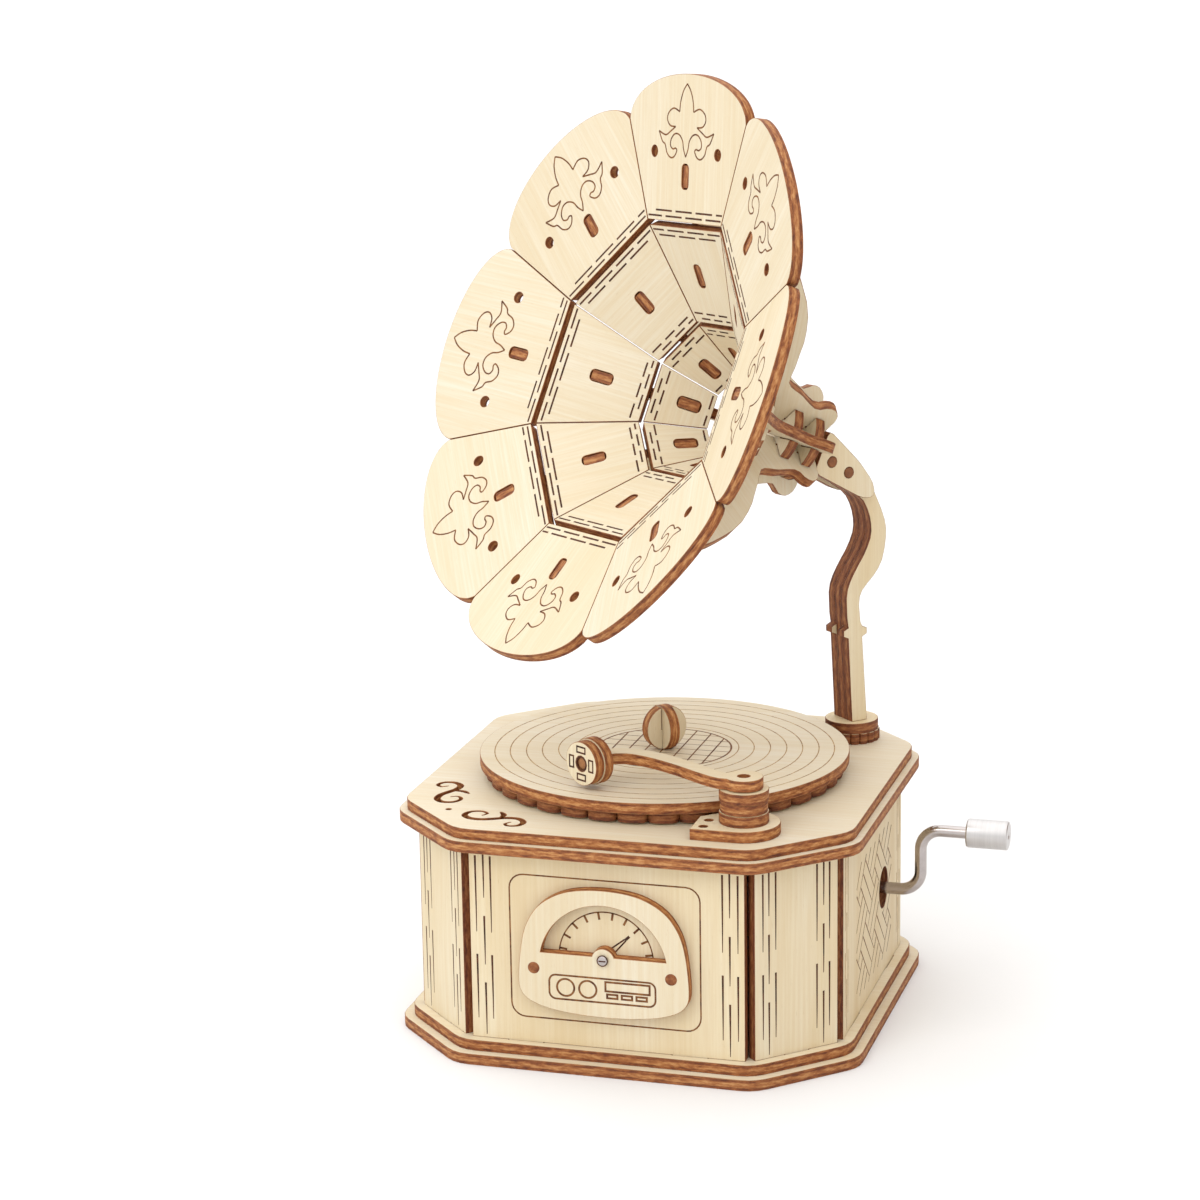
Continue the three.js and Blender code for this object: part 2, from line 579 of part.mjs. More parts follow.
function buildColumn() {
  const lobes = lobedOutline(18, FOOT_RADII[0], FOOT_RADII[0] - 0.6);
  const place = [COLUMN_FOOT.x, COLUMN_FOOT.y];
  add('column_foot_lower', sheet(lobes), WOOD).position.set(...place, Z_TOP);
  add('column_foot_upper', sheet(circle(FOOT_RADII[1], 32)), WOOD)
    .position.set(...place, Z_TOP + PLY);

  const group = new THREE.Group();
  group.position.set(...place, Z_TOP + 2 * PLY);
  group.rotation.z = HORN_HEADING;
  model.add(group);
  const pegPlaces = [point(9.8, 63.2), point(5.2, 60.2)];
  const pegHoles = pegPlaces.map((at) => circle(PEG_RADIUS + PLAY, 12, at));
  const layers = [
    ['column_core', columnOutline(false, true), 0],
    ['column_side_near', columnOutline(true, false), 1],
    ['column_side_far', columnOutline(true, false), -1],
    ['column_cheek_near', cheekOutline(), 2],
    ['column_cheek_far', cheekOutline(), -2],
  ];
  for (const [name, outline, layer] of layers) {
    const body = upright(sheet(outline, pegHoles, PLY - LAYER_GAP), 0, PLY - LAYER_GAP);
    add(name, body, WOOD, group).position.y = layer * PLY;
  }
  pegPlaces.forEach((at, i) => {
    const name = i === 0 ? 'column_peg_upper' : 'column_peg_lower';
    const peg = add(name, bar('y', PEG_RADIUS, -2.6 * PLY, 2.6 * PLY, 12), WOOD, group);
    peg.position.set(at.x, 0, at.y);
  });
}

// ---------------------------------------------------------------- the horn
/** Ring `i` of the horn as seen in a rib's plane: from its inner to its outer front edge. */
function ringSection(i) {
  const outer = point(RING_RADII[i] * FLAT, RING_Z[i]);
  const inner = point(RING_RADII[i + 1] * FLAT, RING_Z[i + 1]);
  const slope = outer.clone().sub(inner);
  const length = slope.length();
  slope.normalize();
  return { inner, outer, slope, length, front: point(-slope.y, slope.x) };
}

const RING_SECTIONS = [0, 1, 2].map(ringSection);

/** How far ring panels stop short of a joint so that their back edges just clear. */
function jointSetback(i) {
  const bend = RING_SECTIONS[i + 1].slope.angle() - RING_SECTIONS[i].slope.angle();
  return PLY * Math.tan(bend / 2) + GAP / 2;
}

/** A point of the rib's plane, given by ring, distance up its slope and height over its face. */
function onRing(i, along, height) {
  const { inner, slope, front } = RING_SECTIONS[i];
  return inner.clone().addScaledVector(slope, along).addScaledVector(front, height);
}

function petalShape() {
  const { length } = RING_SECTIONS[0];
  const start = jointSetback(0);
  const tangent = Math.tan(HALF_SIDE);
  const slopeRun = RING_SECTIONS[0].slope.x;
  const halfAt = (along) => (RING_SECTIONS[0].inner.x + along * slopeRun) * tangent - PLAY;
  const shoulder = halfAt(length);
  const lobe = Array.from({ length: 15 }, (_, i) => {
    const angle = (Math.PI * i) / 14;
    return point(shoulder * Math.cos(angle), length + PETAL_RISE * Math.sin(angle));
  });
  const slot = tenonSlot(0);
  const holes = [-1, 1].map((sign) =>
    circle(PETAL_HOLE_RADIUS, 12, point(sign * PETAL_HOLE_X, length * PETAL_HOLE_SHARE)));
  const base = [point(-halfAt(start), start), point(halfAt(start), start)];
  return { outline: [...base, ...lobe], holes: [slot, ...holes] };
}

function tenonSlot(i) {
  const middle = RING_SECTIONS[i].length * TENON_PLACES[i];
  const half = TENON_LENGTH / 2 + GAP;
  const width = PLY / 2 + GAP / 2;
  return rectangle(-width, middle - half, width, middle + half);
}

/** Turns a panel drawn flat (Y up its slope) into its place in ring `i` at an angle. */
function placeInRing(mesh, i, angle) {
  const { inner, slope, front } = RING_SECTIONS[i];
  const radial = (v) => new THREE.Vector3(v.x * Math.cos(angle), v.x * Math.sin(angle), v.y);
  const across = new THREE.Vector3(Math.sin(angle), -Math.cos(angle), 0);
  const basis = new THREE.Matrix4().makeBasis(across, radial(slope), radial(front));
  mesh.quaternion.setFromRotationMatrix(basis);
  mesh.position.copy(radial(inner)).addScaledVector(radial(front), -PLY);
}

/** A whole ring of eight panels as one bell-shaped band with the ribs' slots in it. */
function ringBand(i) {
  const { length } = RING_SECTIONS[i];
  const low = i < 2 ? jointSetback(i) : 0;
  const high = length - jointSetback(i - 1);
  const flats = [onRing(i, low, -PLY), onRing(i, high, -PLY), onRing(i, high, 0), onRing(i, low, 0)];
  const profile = flats.map((p) => point(p.x / FLAT, p.y));
  profile.push(profile[0].clone());
  const band = new THREE.LatheGeometry(profile, SIDES, HALF_SIDE).rotateX(Math.PI / 2);
  const cutters = Array.from({ length: SIDES }, (_, k) => {
    const cutter = new THREE.Mesh(sheet(tenonSlot(i), [], 3 * PLY).translate(0, 0, -PLY));
    placeInRing(cutter, i, (k * 2 * Math.PI) / SIDES);
    cutter.updateMatrix();
    return cutter.geometry.applyMatrix4(cutter.matrix);
  });
  return cut(band, ...cutters);
}

/** Rear edges of ribs from the petal inwards, as radius and place along the horn axis. */
const LOBED_REAR = [
  point(49.5, -2.5), point(45.8, -8.4), point(42.2, -13.4), point(36, -20.4), point(29, -25.4),
  point(24.3, -27.7), point(19.8, -29.8), point(15.6, -31.6),
];
const SLIM_REAR = [
  point(46, -3.5), point(38.5, -8.5), point(31, -14.5), point(25, -20.5), point(20, -25.5),
  point(16.6, -29.2), point(15.2, -31.8),
];
const NECK_REAR = [
  point(14.3, -34.2), point(13.6, -37), point(12.3, -40), point(11.4, -43.2),
  point(12.9, -45.4), point(12.9, -47.6), point(11.4, -49.2), point(9.6, RIB_END_Z),
];

/** Outline of one rib in the plane through the horn axis: x is radius, y runs along the axis. */
function ribOutline(rearEdge) {
  const seat = -PLY - GAP;
  const front = [2, 1, 0].flatMap((i) => {
    const { length } = RING_SECTIONS[i];
    const middle = length * TENON_PLACES[i];
    const half = TENON_LENGTH / 2;
    const start = i === 2 ? onRing(i, -1, seat) : onRing(i, jointSetback(i), seat);
    return [
      start, onRing(i, middle - half, seat), onRing(i, middle - half, -GAP),
      onRing(i, middle + half, -GAP), onRing(i, middle + half, seat),
    ];
  });
  const tip = onRing(0, RING_SECTIONS[0].length * RIB_TIP_SHARE, seat);
  const rear = splineThrough([tip, ...rearEdge, ...NECK_REAR], 30);
  const notchHalf = PLY / 2 + GAP / 2;
  const notchTop = HUB_CORE_RADIUS + GAP;
  const frontNotch = [
    point(RIB_INNER_RADIUS, HUB_Z[0] - notchHalf), point(notchTop, HUB_Z[0] - notchHalf),
    point(notchTop, HUB_Z[0] + notchHalf), point(RIB_INNER_RADIUS, HUB_Z[0] + notchHalf),
  ];
  return [
    ...front, ...rear, point(notchTop, RIB_END_Z), point(notchTop, HUB_Z[1] + notchHalf),
    point(RIB_INNER_RADIUS, HUB_Z[1] + notchHalf), ...frontNotch,
    point(RIB_INNER_RADIUS, HUB_Z[0] + PLY + 1.1),
  ];
}

/** A hub disc: round, with a notch for each rib. */
function hubOutline() {
  const half = PLY / 2 + GAP / 2;
  const notchAngle = Math.asin(half / HUB_RADIUS);
  return Array.from({ length: SIDES }, (_, k) => {
    const angle = 2 * HALF_SIDE * k;
    const notch = [point(HUB_CORE_RADIUS, -half), point(HUB_CORE_RADIUS, half)];
    const rim = arc(HUB_RADIUS, angle + notchAngle, angle + 2 * HALF_SIDE - notchAngle, 5);
    return [...notch.map((p) => p.rotateAround(point(0, 0), angle)), ...rim];
  }).flat();
}

function buildHorn() {
  const horn = new THREE.Group();
  const level = Math.cos(HORN_PITCH);
  const axis = new THREE.Vector3(
    Math.cos(HORN_HEADING) * level, Math.sin(HORN_HEADING) * level, Math.sin(HORN_PITCH));
  const right = new THREE.Vector3(0, 0, 1).cross(axis).normalize();
  const up = axis.clone().cross(right);
  const basis = new THREE.Matrix4().makeBasis(right, up, axis);
  basis.multiply(new THREE.Matrix4().makeRotationZ(HORN_ROLL));
  horn.quaternion.setFromRotationMatrix(basis);
  horn.position.copy(HORN_CENTRE);
  model.add(horn);

  const petal = petalShape();
  const ribs = [ribOutline(SLIM_REAR), ribOutline(LOBED_REAR)];
  for (let k = 0; k < SIDES; k += 1) {
    const angle = Math.PI / 2 - (k * 2 * Math.PI) / SIDES;
    const petalMesh = add(`horn_petal_${k + 1}`, sheet(petal.outline, petal.holes), WOOD, horn);
    placeInRing(petalMesh, 0, angle);
    const ribMesh = add(`horn_rib_${k + 1}`, upright(sheet(ribs[k % 2])), WOOD, horn);
    ribMesh.rotation.z = angle;
  }
  add('horn_middle_ring', ringBand(1), WOOD, horn);
  add('horn_inner_ring', ringBand(2), WOOD, horn);

  const tongueHole = rectangle(-PLY / 2 - GAP, -2 - GAP, PLY / 2 + GAP, 2 + GAP);
  const hubs = [['horn_hub_front', []], ['horn_hub_rear', [tongueHole]]];
  hubs.forEach(([name, holes], i) => {
    add(name, sheet(hubOutline(), holes), WOOD, horn).position.z = HUB_Z[i] - PLY / 2;
  });
}

// ---------------------------------------------------------------- the crank and movement
/** A worm: a round root with one helical ridge, as a closed grid of rings along X. */
function worm(length) {
  const around = 14;
  const rings = Math.round((length / WORM_PITCH) * 8);
  const positions = [];
  const index = [];
  const ridge = (phase) => {
    const off = Math.abs(phase - Math.floor(phase) - 0.5);
    const blend = THREE.MathUtils.clamp((off - 0.12) / 0.1, 0, 1);
    return WORM_TIP + (WORM_ROOT - WORM_TIP) * blend;
  };
  for (let i = 0; i <= rings; i += 1) {
    const x = (length * i) / rings - length / 2;
    for (let j = 0; j < around; j += 1) {
      const angle = (2 * Math.PI * j) / around;
      const phase = x / WORM_PITCH - (angle + Math.PI / 2) / (2 * Math.PI);
      const radius = ridge(phase);
      positions.push(x, radius * Math.cos(angle), radius * Math.sin(angle));
    }
  }
  const at = (i, j) => i * around + (j % around);
  for (let i = 0; i < rings; i += 1) {
    for (let j = 0; j < around; j += 1) {
      index.push(at(i, j), at(i + 1, j + 1), at(i + 1, j), at(i, j), at(i, j + 1), at(i + 1, j + 1));
    }
  }
  const ends = [-length / 2, length / 2].map((x) => positions.push(x, 0, 0) / 3 - 1);
  for (let j = 0; j < around; j += 1) {
    index.push(ends[0], at(0, j + 1), at(0, j), ends[1], at(rings, j), at(rings, j + 1));
  }
  const geometry = new THREE.BufferGeometry();
  geometry.setAttribute('position', new THREE.Float32BufferAttribute(positions, 3));
  geometry.setAttribute('normal', new THREE.Float32BufferAttribute(positions, 3));
  geometry.setAttribute('uv', new THREE.Float32BufferAttribute(positions.length * 2 / 3, 2));
  geometry.setIndex(index);
  return geometry;
}

function crankWire() {
  const at = (x, z) => new THREE.Vector3(x, 0, z);
  const path = new THREE.CurvePath();
  const armX = CRANK_ARM_X;
  const line = (a, b) => path.add(new THREE.LineCurve3(a, b));
  const bend = (a, b, c) => path.add(new THREE.QuadraticBezierCurve3(a, b, c));
  const shaftStart = CYLINDER_X - 11;
  line(at(shaftStart, 0), at(armX - CRANK_BEND, 0));
  bend(at(armX - CRANK_BEND, 0), at(armX, 0), at(armX, CRANK_BEND));
  line(at(armX, CRANK_BEND), at(armX, CRANK_THROW - CRANK_BEND));
  const armEnd = at(armX, CRANK_THROW - CRANK_BEND);
  bend(armEnd, at(armX, CRANK_THROW), at(armX + CRANK_BEND, CRANK_THROW));
  line(at(armX + CRANK_BEND, CRANK_THROW), at(HANDLE_START_X + HANDLE_LENGTH - 2, CRANK_THROW));
  const section = new THREE.Shape(circle(WIRE_RADIUS, 8));
  return new THREE.ExtrudeGeometry(section, { steps: 48, extrudePath: path, bevelEnabled: false });
}

function toothedWheel() {
  const root = CENTRE_DISTANCE - WORM_TIP - WORM_CLEARANCE;
  const tip = CENTRE_DISTANCE - WORM_ROOT - WORM_CLEARANCE;
  const pitch = (2 * Math.PI) / WHEEL_TEETH;
  const shape = [[-0.22, root], [-0.11, tip], [0.11, tip], [0.22, root]];
  const outline = Array.from({ length: WHEEL_TEETH }, (_, i) => shape.map(([share, radius]) => {
    const angle = (i + share) * pitch + Math.PI / 2;
    return point(radius * Math.cos(angle), radius * Math.sin(angle));
  })).flat();
  return upright(sheet(outline, [], WHEEL_THICKNESS), 0, WHEEL_THICKNESS);
}

function buildCrank() {
  const wormSolid = worm(WORM_TURNS * WORM_PITCH).translate(CYLINDER_X, 0, 0);
  const crank = add('crank', join(crankWire(), wormSolid), STEEL);
  crank.position.set(0, CRANK_AXIS_Y, CRANK_AXIS_Z);

  const bore = WIRE_RADIUS + GAP;
  const boreEnd = HANDLE_LENGTH - HANDLE_CAP;
  const profile = [
    point(bore, 0), point(HANDLE_RADIUS - 0.4, 0), point(HANDLE_RADIUS, 0.4),
    point(HANDLE_RADIUS, HANDLE_LENGTH - 0.5), point(HANDLE_RADIUS - 0.5, HANDLE_LENGTH),
    point(0, HANDLE_LENGTH), point(0, boreEnd), point(bore, boreEnd), point(bore, 0),
  ];
  const knob = add('crank_knob', new THREE.LatheGeometry(profile, 28).rotateZ(-Math.PI / 2), STEEL);
  knob.position.set(HANDLE_START_X, CRANK_AXIS_Y, CRANK_AXIS_Z + CRANK_THROW);
}

/** Barrel, boss, arbor and worm wheel in one, turning in the frame's two bearings. */
function buildCylinder() {
  const barrel = join(
    bar('y', BARREL_RADIUS, BARREL_FRONT, BARREL_BACK, 32),
    bar('y', 2, BARREL_BACK - 1, CRANK_AXIS_Y, 16),
    bar('y', ARBOR_RADIUS, FRONT_BEARING_Y - ARBOR_END, BACK_BEARING_Y + ARBOR_END, 12),
    toothedWheel().translate(0, CRANK_AXIS_Y, 0));
  add('pinned_cylinder', barrel, BRASS).position.set(CYLINDER_X, 0, CYLINDER_Z);
}

const COMB_TIP_X = CYLINDER_X - BARREL_RADIUS - COMB_TIP_GAP;
const COMB_HEEL_X = COMB_TIP_X - COMB_LENGTH;
const COMB_Z = CYLINDER_Z - COMB_THICKNESS / 2;

/** The steel comb: its teeth grow shorter from the bass end to the treble end. */
function buildComb() {
  const pitch = (COMB_BACK - COMB_FRONT) / COMB_TEETH;
  const longest = 8.5;
  const shortening = 4.5;
  const teeth = Array.from({ length: COMB_TEETH }, (_, i) => {
    const near = COMB_FRONT + i * pitch;
    const far = near + pitch * TOOTH_SHARE;
    const root = COMB_TIP_X - longest + (shortening * i) / COMB_TEETH;
    return [point(root, near), point(COMB_TIP_X, near), point(COMB_TIP_X, far), point(root, far)];
  }).flat();
  const outline = [point(COMB_HEEL_X, COMB_FRONT - 0.4), ...teeth, point(COMB_HEEL_X, COMB_BACK)];
  add('comb', sheet(outline, [], COMB_THICKNESS), STEEL).position.z = COMB_Z;
}

/** The cast frame: a bed, two bearings for the arbor, two for the crank and the comb's seat. */
function buildFrame() {
  const floor = Z_BASE_TOP;
  const foot = floor + 1; // the uprights start inside the bed
  const bedTop = floor + 2.5;
  const arborTop = CYLINDER_Z + 3.5;
  const crankTop = CRANK_AXIS_Z + 3.2;
  const arborBearing = (y) => box(
    CYLINDER_X - BEARING_HALF_WIDTH, y, foot, CYLINDER_X + BEARING_HALF_WIDTH, y + BEARING_PLATE, arborTop);
  const crankBearing = (x) => box(
    x, CRANK_AXIS_Y - 3, foot, x + CRANK_BEARING_LENGTH, CRANK_AXIS_Y + 3, crankTop);
  const body = join(
    box(COMB_HEEL_X - 2, -17, floor, CYLINDER_X + 12, 18, bedTop),
    arborBearing(FRONT_BEARING_Y - BEARING_PLATE),
    arborBearing(BACK_BEARING_Y),
    box(COMB_HEEL_X - 1, COMB_FRONT, foot, COMB_HEEL_X + 4, COMB_BACK, COMB_Z),
    crankBearing(CYLINDER_X - CRANK_BEARING_REACH),
    crankBearing(CYLINDER_X + CRANK_BEARING_REACH - CRANK_BEARING_LENGTH));
  const arborHoles = bar('y', ARBOR_RADIUS + GAP, -20, 20, 12).translate(CYLINDER_X, 0, CYLINDER_Z);
  const crankHoles = bar('x', WIRE_RADIUS + GAP, 0, 60, 14).translate(0, CRANK_AXIS_Y, CRANK_AXIS_Z);
  add('movement_frame', cut(body, arborHoles, crankHoles), CAST);
}

buildBox();
buildDial();
buildTurntable();
buildTonearm();
buildColumn();
buildHorn();
buildCrank();
buildCylinder();
buildComb();
buildFrame();

export default model;
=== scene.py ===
"""Looks of the hand-crank music box: laser-cut birch plywood, a steel crank and its movement.

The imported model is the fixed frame. Every wooden part is shown as a copy with eased, burnt edges,
and engraved lines, grain and the finer parts are made here around it. Lengths that start in
millimetres are turned into metres by MM.
"""

import json
import math
import random

import bmesh
import bpy
from mathutils import Matrix, Vector

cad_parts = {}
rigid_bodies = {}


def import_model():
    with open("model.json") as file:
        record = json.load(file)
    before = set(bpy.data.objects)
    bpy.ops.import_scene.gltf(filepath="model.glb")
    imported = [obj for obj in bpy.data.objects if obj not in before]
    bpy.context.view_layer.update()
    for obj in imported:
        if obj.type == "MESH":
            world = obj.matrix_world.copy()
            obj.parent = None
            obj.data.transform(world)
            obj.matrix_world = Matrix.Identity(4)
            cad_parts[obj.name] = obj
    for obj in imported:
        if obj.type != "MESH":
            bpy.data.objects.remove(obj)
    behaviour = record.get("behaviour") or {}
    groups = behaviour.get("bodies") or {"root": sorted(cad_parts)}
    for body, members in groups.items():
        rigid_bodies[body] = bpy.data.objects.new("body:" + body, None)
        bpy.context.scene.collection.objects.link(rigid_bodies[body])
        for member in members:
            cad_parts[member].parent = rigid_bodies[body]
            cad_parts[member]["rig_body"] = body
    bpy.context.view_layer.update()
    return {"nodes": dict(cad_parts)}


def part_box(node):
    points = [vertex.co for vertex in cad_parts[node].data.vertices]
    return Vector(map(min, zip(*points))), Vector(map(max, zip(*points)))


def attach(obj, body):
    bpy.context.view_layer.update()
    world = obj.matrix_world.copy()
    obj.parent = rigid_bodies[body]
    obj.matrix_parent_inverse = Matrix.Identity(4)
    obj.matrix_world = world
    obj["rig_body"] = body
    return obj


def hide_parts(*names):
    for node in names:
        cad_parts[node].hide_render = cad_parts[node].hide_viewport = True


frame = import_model()
random.seed(11)

MM = 0.001
PLY = 2.5  # thickness of every wooden sheet
GAP = 0.3  # between pieces that meet on edge
PLAY = 0.1  # between pieces that fit into each other
UP = Vector((0, 0, 1))
SIDES = 8
HALF_SIDE = math.pi / SIDES

# The horn, as in the CAD: corner radii and places along its axis from the mouth inwards.
RING_RADII = [61.1, 38.1, 18.5, 10.4]
RING_Z = [7.6, 0.0, -16.1, -28.9]
PETAL_RISE = 10.4
TENON_PLACES = [0.47, 0.5, 0.38]  # how far up each ring's panels their slots lie
PETAL_HOLE_RADIUS = 1.3
PETAL_HOLE_X = 12.7
PETAL_HOLE_SHARE = 0.7  # how far up the petal its two holes lie
HUB_FRONT_Z = -39.6
HORN_ROLL = math.radians(3)

# Camera
CAMERA_PLACE = Vector((193.50, -694.66, 275.82)) * MM
CAMERA_AZIMUTH = math.radians(16.688)
CAMERA_ELEVATION = math.radians(14.157)
CAMERA_ROLL = math.radians(-0.941)
CAMERA_LENS = 99.15
SENSOR_WIDTH = 36.0
CLIP_END = 20

# Light: the sky's strength at the horizon and overhead, and how it dims towards one side
SKY_STRENGTH = (1.06, 1.95)
DIM_DIRECTION = (0.91, 0.41, 0.0)
SKY_COLOURS = [(0.4, (1.0, 1.0, 1.0)), (0.95, (0.26, 0.17, 0.12))]
KEY_PLACE = Vector((-0.4, -0.85, 0.95))
KEY_TARGET = Vector((0, 0, 0.08))
KEY_SIZE = 0.5
KEY_POWER = 2.3
FLOOR_HALF_SIZE = 6
FLOOR_COLOUR = (0.76, 0.76, 0.76)


# ------------------------------------------------------------------ camera, light and floor
def make_camera():
    a, e, r = CAMERA_AZIMUTH, CAMERA_ELEVATION, CAMERA_ROLL
    right = Vector((math.cos(a), math.sin(a), 0))
    back = Vector((math.sin(a) * math.cos(e), -math.cos(a) * math.cos(e), math.sin(e)))
    up = back.cross(right)
    turned_right = right * math.cos(r) + up * math.sin(r)
    turned_up = up * math.cos(r) - right * math.sin(r)
    data = bpy.data.cameras.new("camera")
    data.lens = CAMERA_LENS
    data.sensor_width = SENSOR_WIDTH
    data.clip_end = CLIP_END
    camera = bpy.data.objects.new("camera", data)
    turn = Matrix((turned_right, turned_up, back)).transposed()
    camera.matrix_world = Matrix.Translation(CAMERA_PLACE) @ turn.to_4x4()
    bpy.context.scene.collection.objects.link(camera)
    bpy.context.scene.camera = camera


def add_key_light():
    data = bpy.data.lights.new("key", "AREA")
    data.size = KEY_SIZE
    data.energy = KEY_POWER
    light = bpy.data.objects.new("key", data)
    light.location = KEY_PLACE
    light.rotation_euler = (KEY_TARGET - KEY_PLACE).to_track_quat("-Z", "Y").to_euler()
    bpy.context.scene.collection.objects.link(light)


def make_sky():
    """White light from all round, strongest overhead and dim on the crank's side."""
    world = bpy.data.worlds.new("studio")
    world.use_nodes = True
    tree = world.node_tree
    direction = tree.nodes.new("ShaderNodeTexCoord").outputs["Generated"]
    toward_dim = tree.nodes.new("ShaderNodeVectorMath")
    toward_dim.operation = "DOT_PRODUCT"
    toward_dim.inputs[1].default_value = DIM_DIRECTION
    tree.links.new(direction, toward_dim.inputs[0])
    ramp = tree.nodes.new("ShaderNodeValToRGB")
    tree.links.new(toward_dim.outputs["Value"], ramp.inputs["Fac"])
    for element, (position, colour) in zip(ramp.color_ramp.elements, SKY_COLOURS):
        element.position = position
        element.color = (*colour, 1)
    height = tree.nodes.new("ShaderNodeSeparateXYZ")
    tree.links.new(direction, height.inputs[0])
    strength = tree.nodes.new("ShaderNodeMapRange")
    strength.clamp = True
    strength.inputs["To Min"].default_value, strength.inputs["To Max"].default_value = SKY_STRENGTH
    tree.links.new(height.outputs["Z"], strength.inputs["Value"])
    background = tree.nodes["Background"]
    tree.links.new(ramp.outputs["Color"], background.inputs["Color"])
    tree.links.new(strength.outputs["Result"], background.inputs["Strength"])
    bpy.context.scene.world = world


def make_floor():
    bm = bmesh.new()
    bmesh.ops.create_grid(bm, x_segments=8, y_segments=8, size=FLOOR_HALF_SIZE)
    mesh = bpy.data.meshes.new("floor")
    bm.to_mesh(mesh)
    bm.free()
    mesh.materials.append(plain_material("floor_paper", FLOOR_COLOUR, 0.9))
    floor = bpy.data.objects.new("floor", mesh)
    bpy.context.scene.collection.objects.link(floor)


def make_studio():
    bpy.context.scene.view_settings.view_transform = "Standard"
    make_sky()
    add_key_light()
    make_floor()


# ------------------------------------------------------------------ materials
class Shader:
    """A material under construction, with short calls for the nodes used here."""

    def __init__(self, name, roughness=0.6, metallic=0.0):
        self.material = bpy.data.materials.new(name)
        self.material.use_nodes = True
        self.tree = self.material.node_tree
        self.surface = self.tree.nodes["Principled BSDF"]
        self.surface.inputs["Roughness"].default_value = roughness
        self.surface.inputs["Metallic"].default_value = metallic

    def node(self, kind, **settings):
        node = self.tree.nodes.new(kind)
        for key, value in settings.items():
            setattr(node, key, value)
        return node

    def link(self, source, target):
        self.tree.links.new(source, target)

    def feed(self, socket, value):
        if hasattr(value, "is_linked"):
            self.link(value, socket)
        else:
            socket.default_value = value

    def grain(self):
        """The piece's own wood coordinates: along the grain, across it and through the sheet."""
        return self.node("ShaderNodeAttribute", attribute_name="grain").outputs["Vector"]

    def tone(self, axis):
        """The piece's own tone: X how pale its faces are, Y how burnt its edges are."""
        node = self.node("ShaderNodeSeparateXYZ")
        self.link(self.node("ShaderNodeAttribute", attribute_name="tone").outputs["Vector"],
                  node.inputs[0])
        return node.outputs[axis]

    def place(self):
        return self.node("ShaderNodeTexCoord").outputs["Object"]

    def scaled(self, vector, scale):
        node = self.node("ShaderNodeMapping")
        self.link(vector, node.inputs["Vector"])
        node.inputs["Scale"].default_value = scale
        return node.outputs["Vector"]

    def noise(self, vector, scale, detail=4.0, roughness=0.55, distortion=0.0):
        node = self.node("ShaderNodeTexNoise")
        self.link(vector, node.inputs["Vector"])
        node.inputs["Scale"].default_value = scale
        node.inputs["Detail"].default_value = detail
        node.inputs["Roughness"].default_value = roughness
        node.inputs["Distortion"].default_value = distortion
        return node.outputs["Fac"]

    def math(self, operation, a, b=0.0, clamp=False):
        node = self.node("ShaderNodeMath", operation=operation, use_clamp=clamp)
        self.feed(node.inputs[0], a)
        self.feed(node.inputs[1], b)
        return node.outputs[0]

    def ramp(self, value, stops):
        node = self.node("ShaderNodeValToRGB")
        self.link(value, node.inputs["Fac"])
        elements = node.color_ramp.elements
        while len(elements) < len(stops):
            elements.new(0.5)
        for element, (position, colour) in zip(elements, stops):
            element.position = position
            element.color = (*colour, 1)
        return node.outputs["Color"]

    def window(self, value, low, high):
        """0 below low and 1 above high, straight between."""
        node = self.node("ShaderNodeMapRange", clamp=True)
        self.link(value, node.inputs["Value"])
        node.inputs["From Min"].default_value = low
        node.inputs["From Max"].default_value = high
        return node.outputs["Result"]

    def mix(self, share, a, b, blend="MIX"):
        node = self.node("ShaderNodeMix", data_type="RGBA", blend_type=blend)
        self.feed(node.inputs["Factor"], share)
        for socket, value in ((node.inputs["A"], a), (node.inputs["B"], b)):
            self.feed(socket, (*value, 1) if isinstance(value, tuple) else value)
        return node.outputs["Result"]

    def bump(self, height, strength, distance):
        node = self.node("ShaderNodeBump")
        self.link(height, node.inputs["Height"])
        node.inputs["Strength"].default_value = strength
        node.inputs["Distance"].default_value = distance
        self.link(node.outputs["Normal"], self.surface.inputs["Normal"])

    def finish(self, colour):
        self.feed(self.surface.inputs["Base Color"], colour)
        return self.material


def plain_material(name, colour, roughness):
    shader = Shader(name, roughness)
    speckle = shader.noise(shader.place(), 40, 2)
    tint = tuple(c * 0.985 for c in colour)
    return shader.finish(shader.ramp(speckle, [(0.3, tint), (0.7, colour)]))


CORE_HALF = (0.00062, 0.0004)  # where the middle ply fades out and is whole, in metres
RIM_START, RIM_END = 0.00104, 0.00122


def birch_face():
    """Pale sanded birch: long soft streaks, fine pores and a slow change of tone."""
    shader = Shader("birch_face", 0.62)
    grain = shader.grain()
    drift = shader.noise(shader.scaled(grain, (9, 70, 1)), 1.0, 3, 0.6, 0.6)
    warm = shader.ramp(drift, [
        (0.3, (0.64, 0.51, 0.30)), (0.5, (0.685, 0.575, 0.375)), (0.7, (0.71, 0.62, 0.44)),
    ])
    pale = shader.ramp(drift, [
        (0.3, (0.63, 0.55, 0.40)), (0.5, (0.66, 0.59, 0.455)), (0.7, (0.68, 0.62, 0.50)),
    ])
    base = shader.mix(shader.tone("X"), warm, pale)
    streaks = shader.noise(shader.scaled(grain, (35, 1500, 1)), 1.0, 5, 0.65)
    streaked = shader.mix(shader.window(streaks, 0.62, 0.42), base, (0.60, 0.46, 0.26))
    base = shader.mix(0.4, base, streaked)
    pores = shader.noise(shader.scaled(grain, (420, 5200, 1)), 1.0, 2, 0.5)
    flecks = shader.math("MULTIPLY", shader.window(pores, 0.66, 0.74), 0.3)
    colour = shader.mix(flecks, base, (0.42, 0.27, 0.13))
    shader.bump(streaks, 0.12, 0.00008)
    return shader.finish(colour)


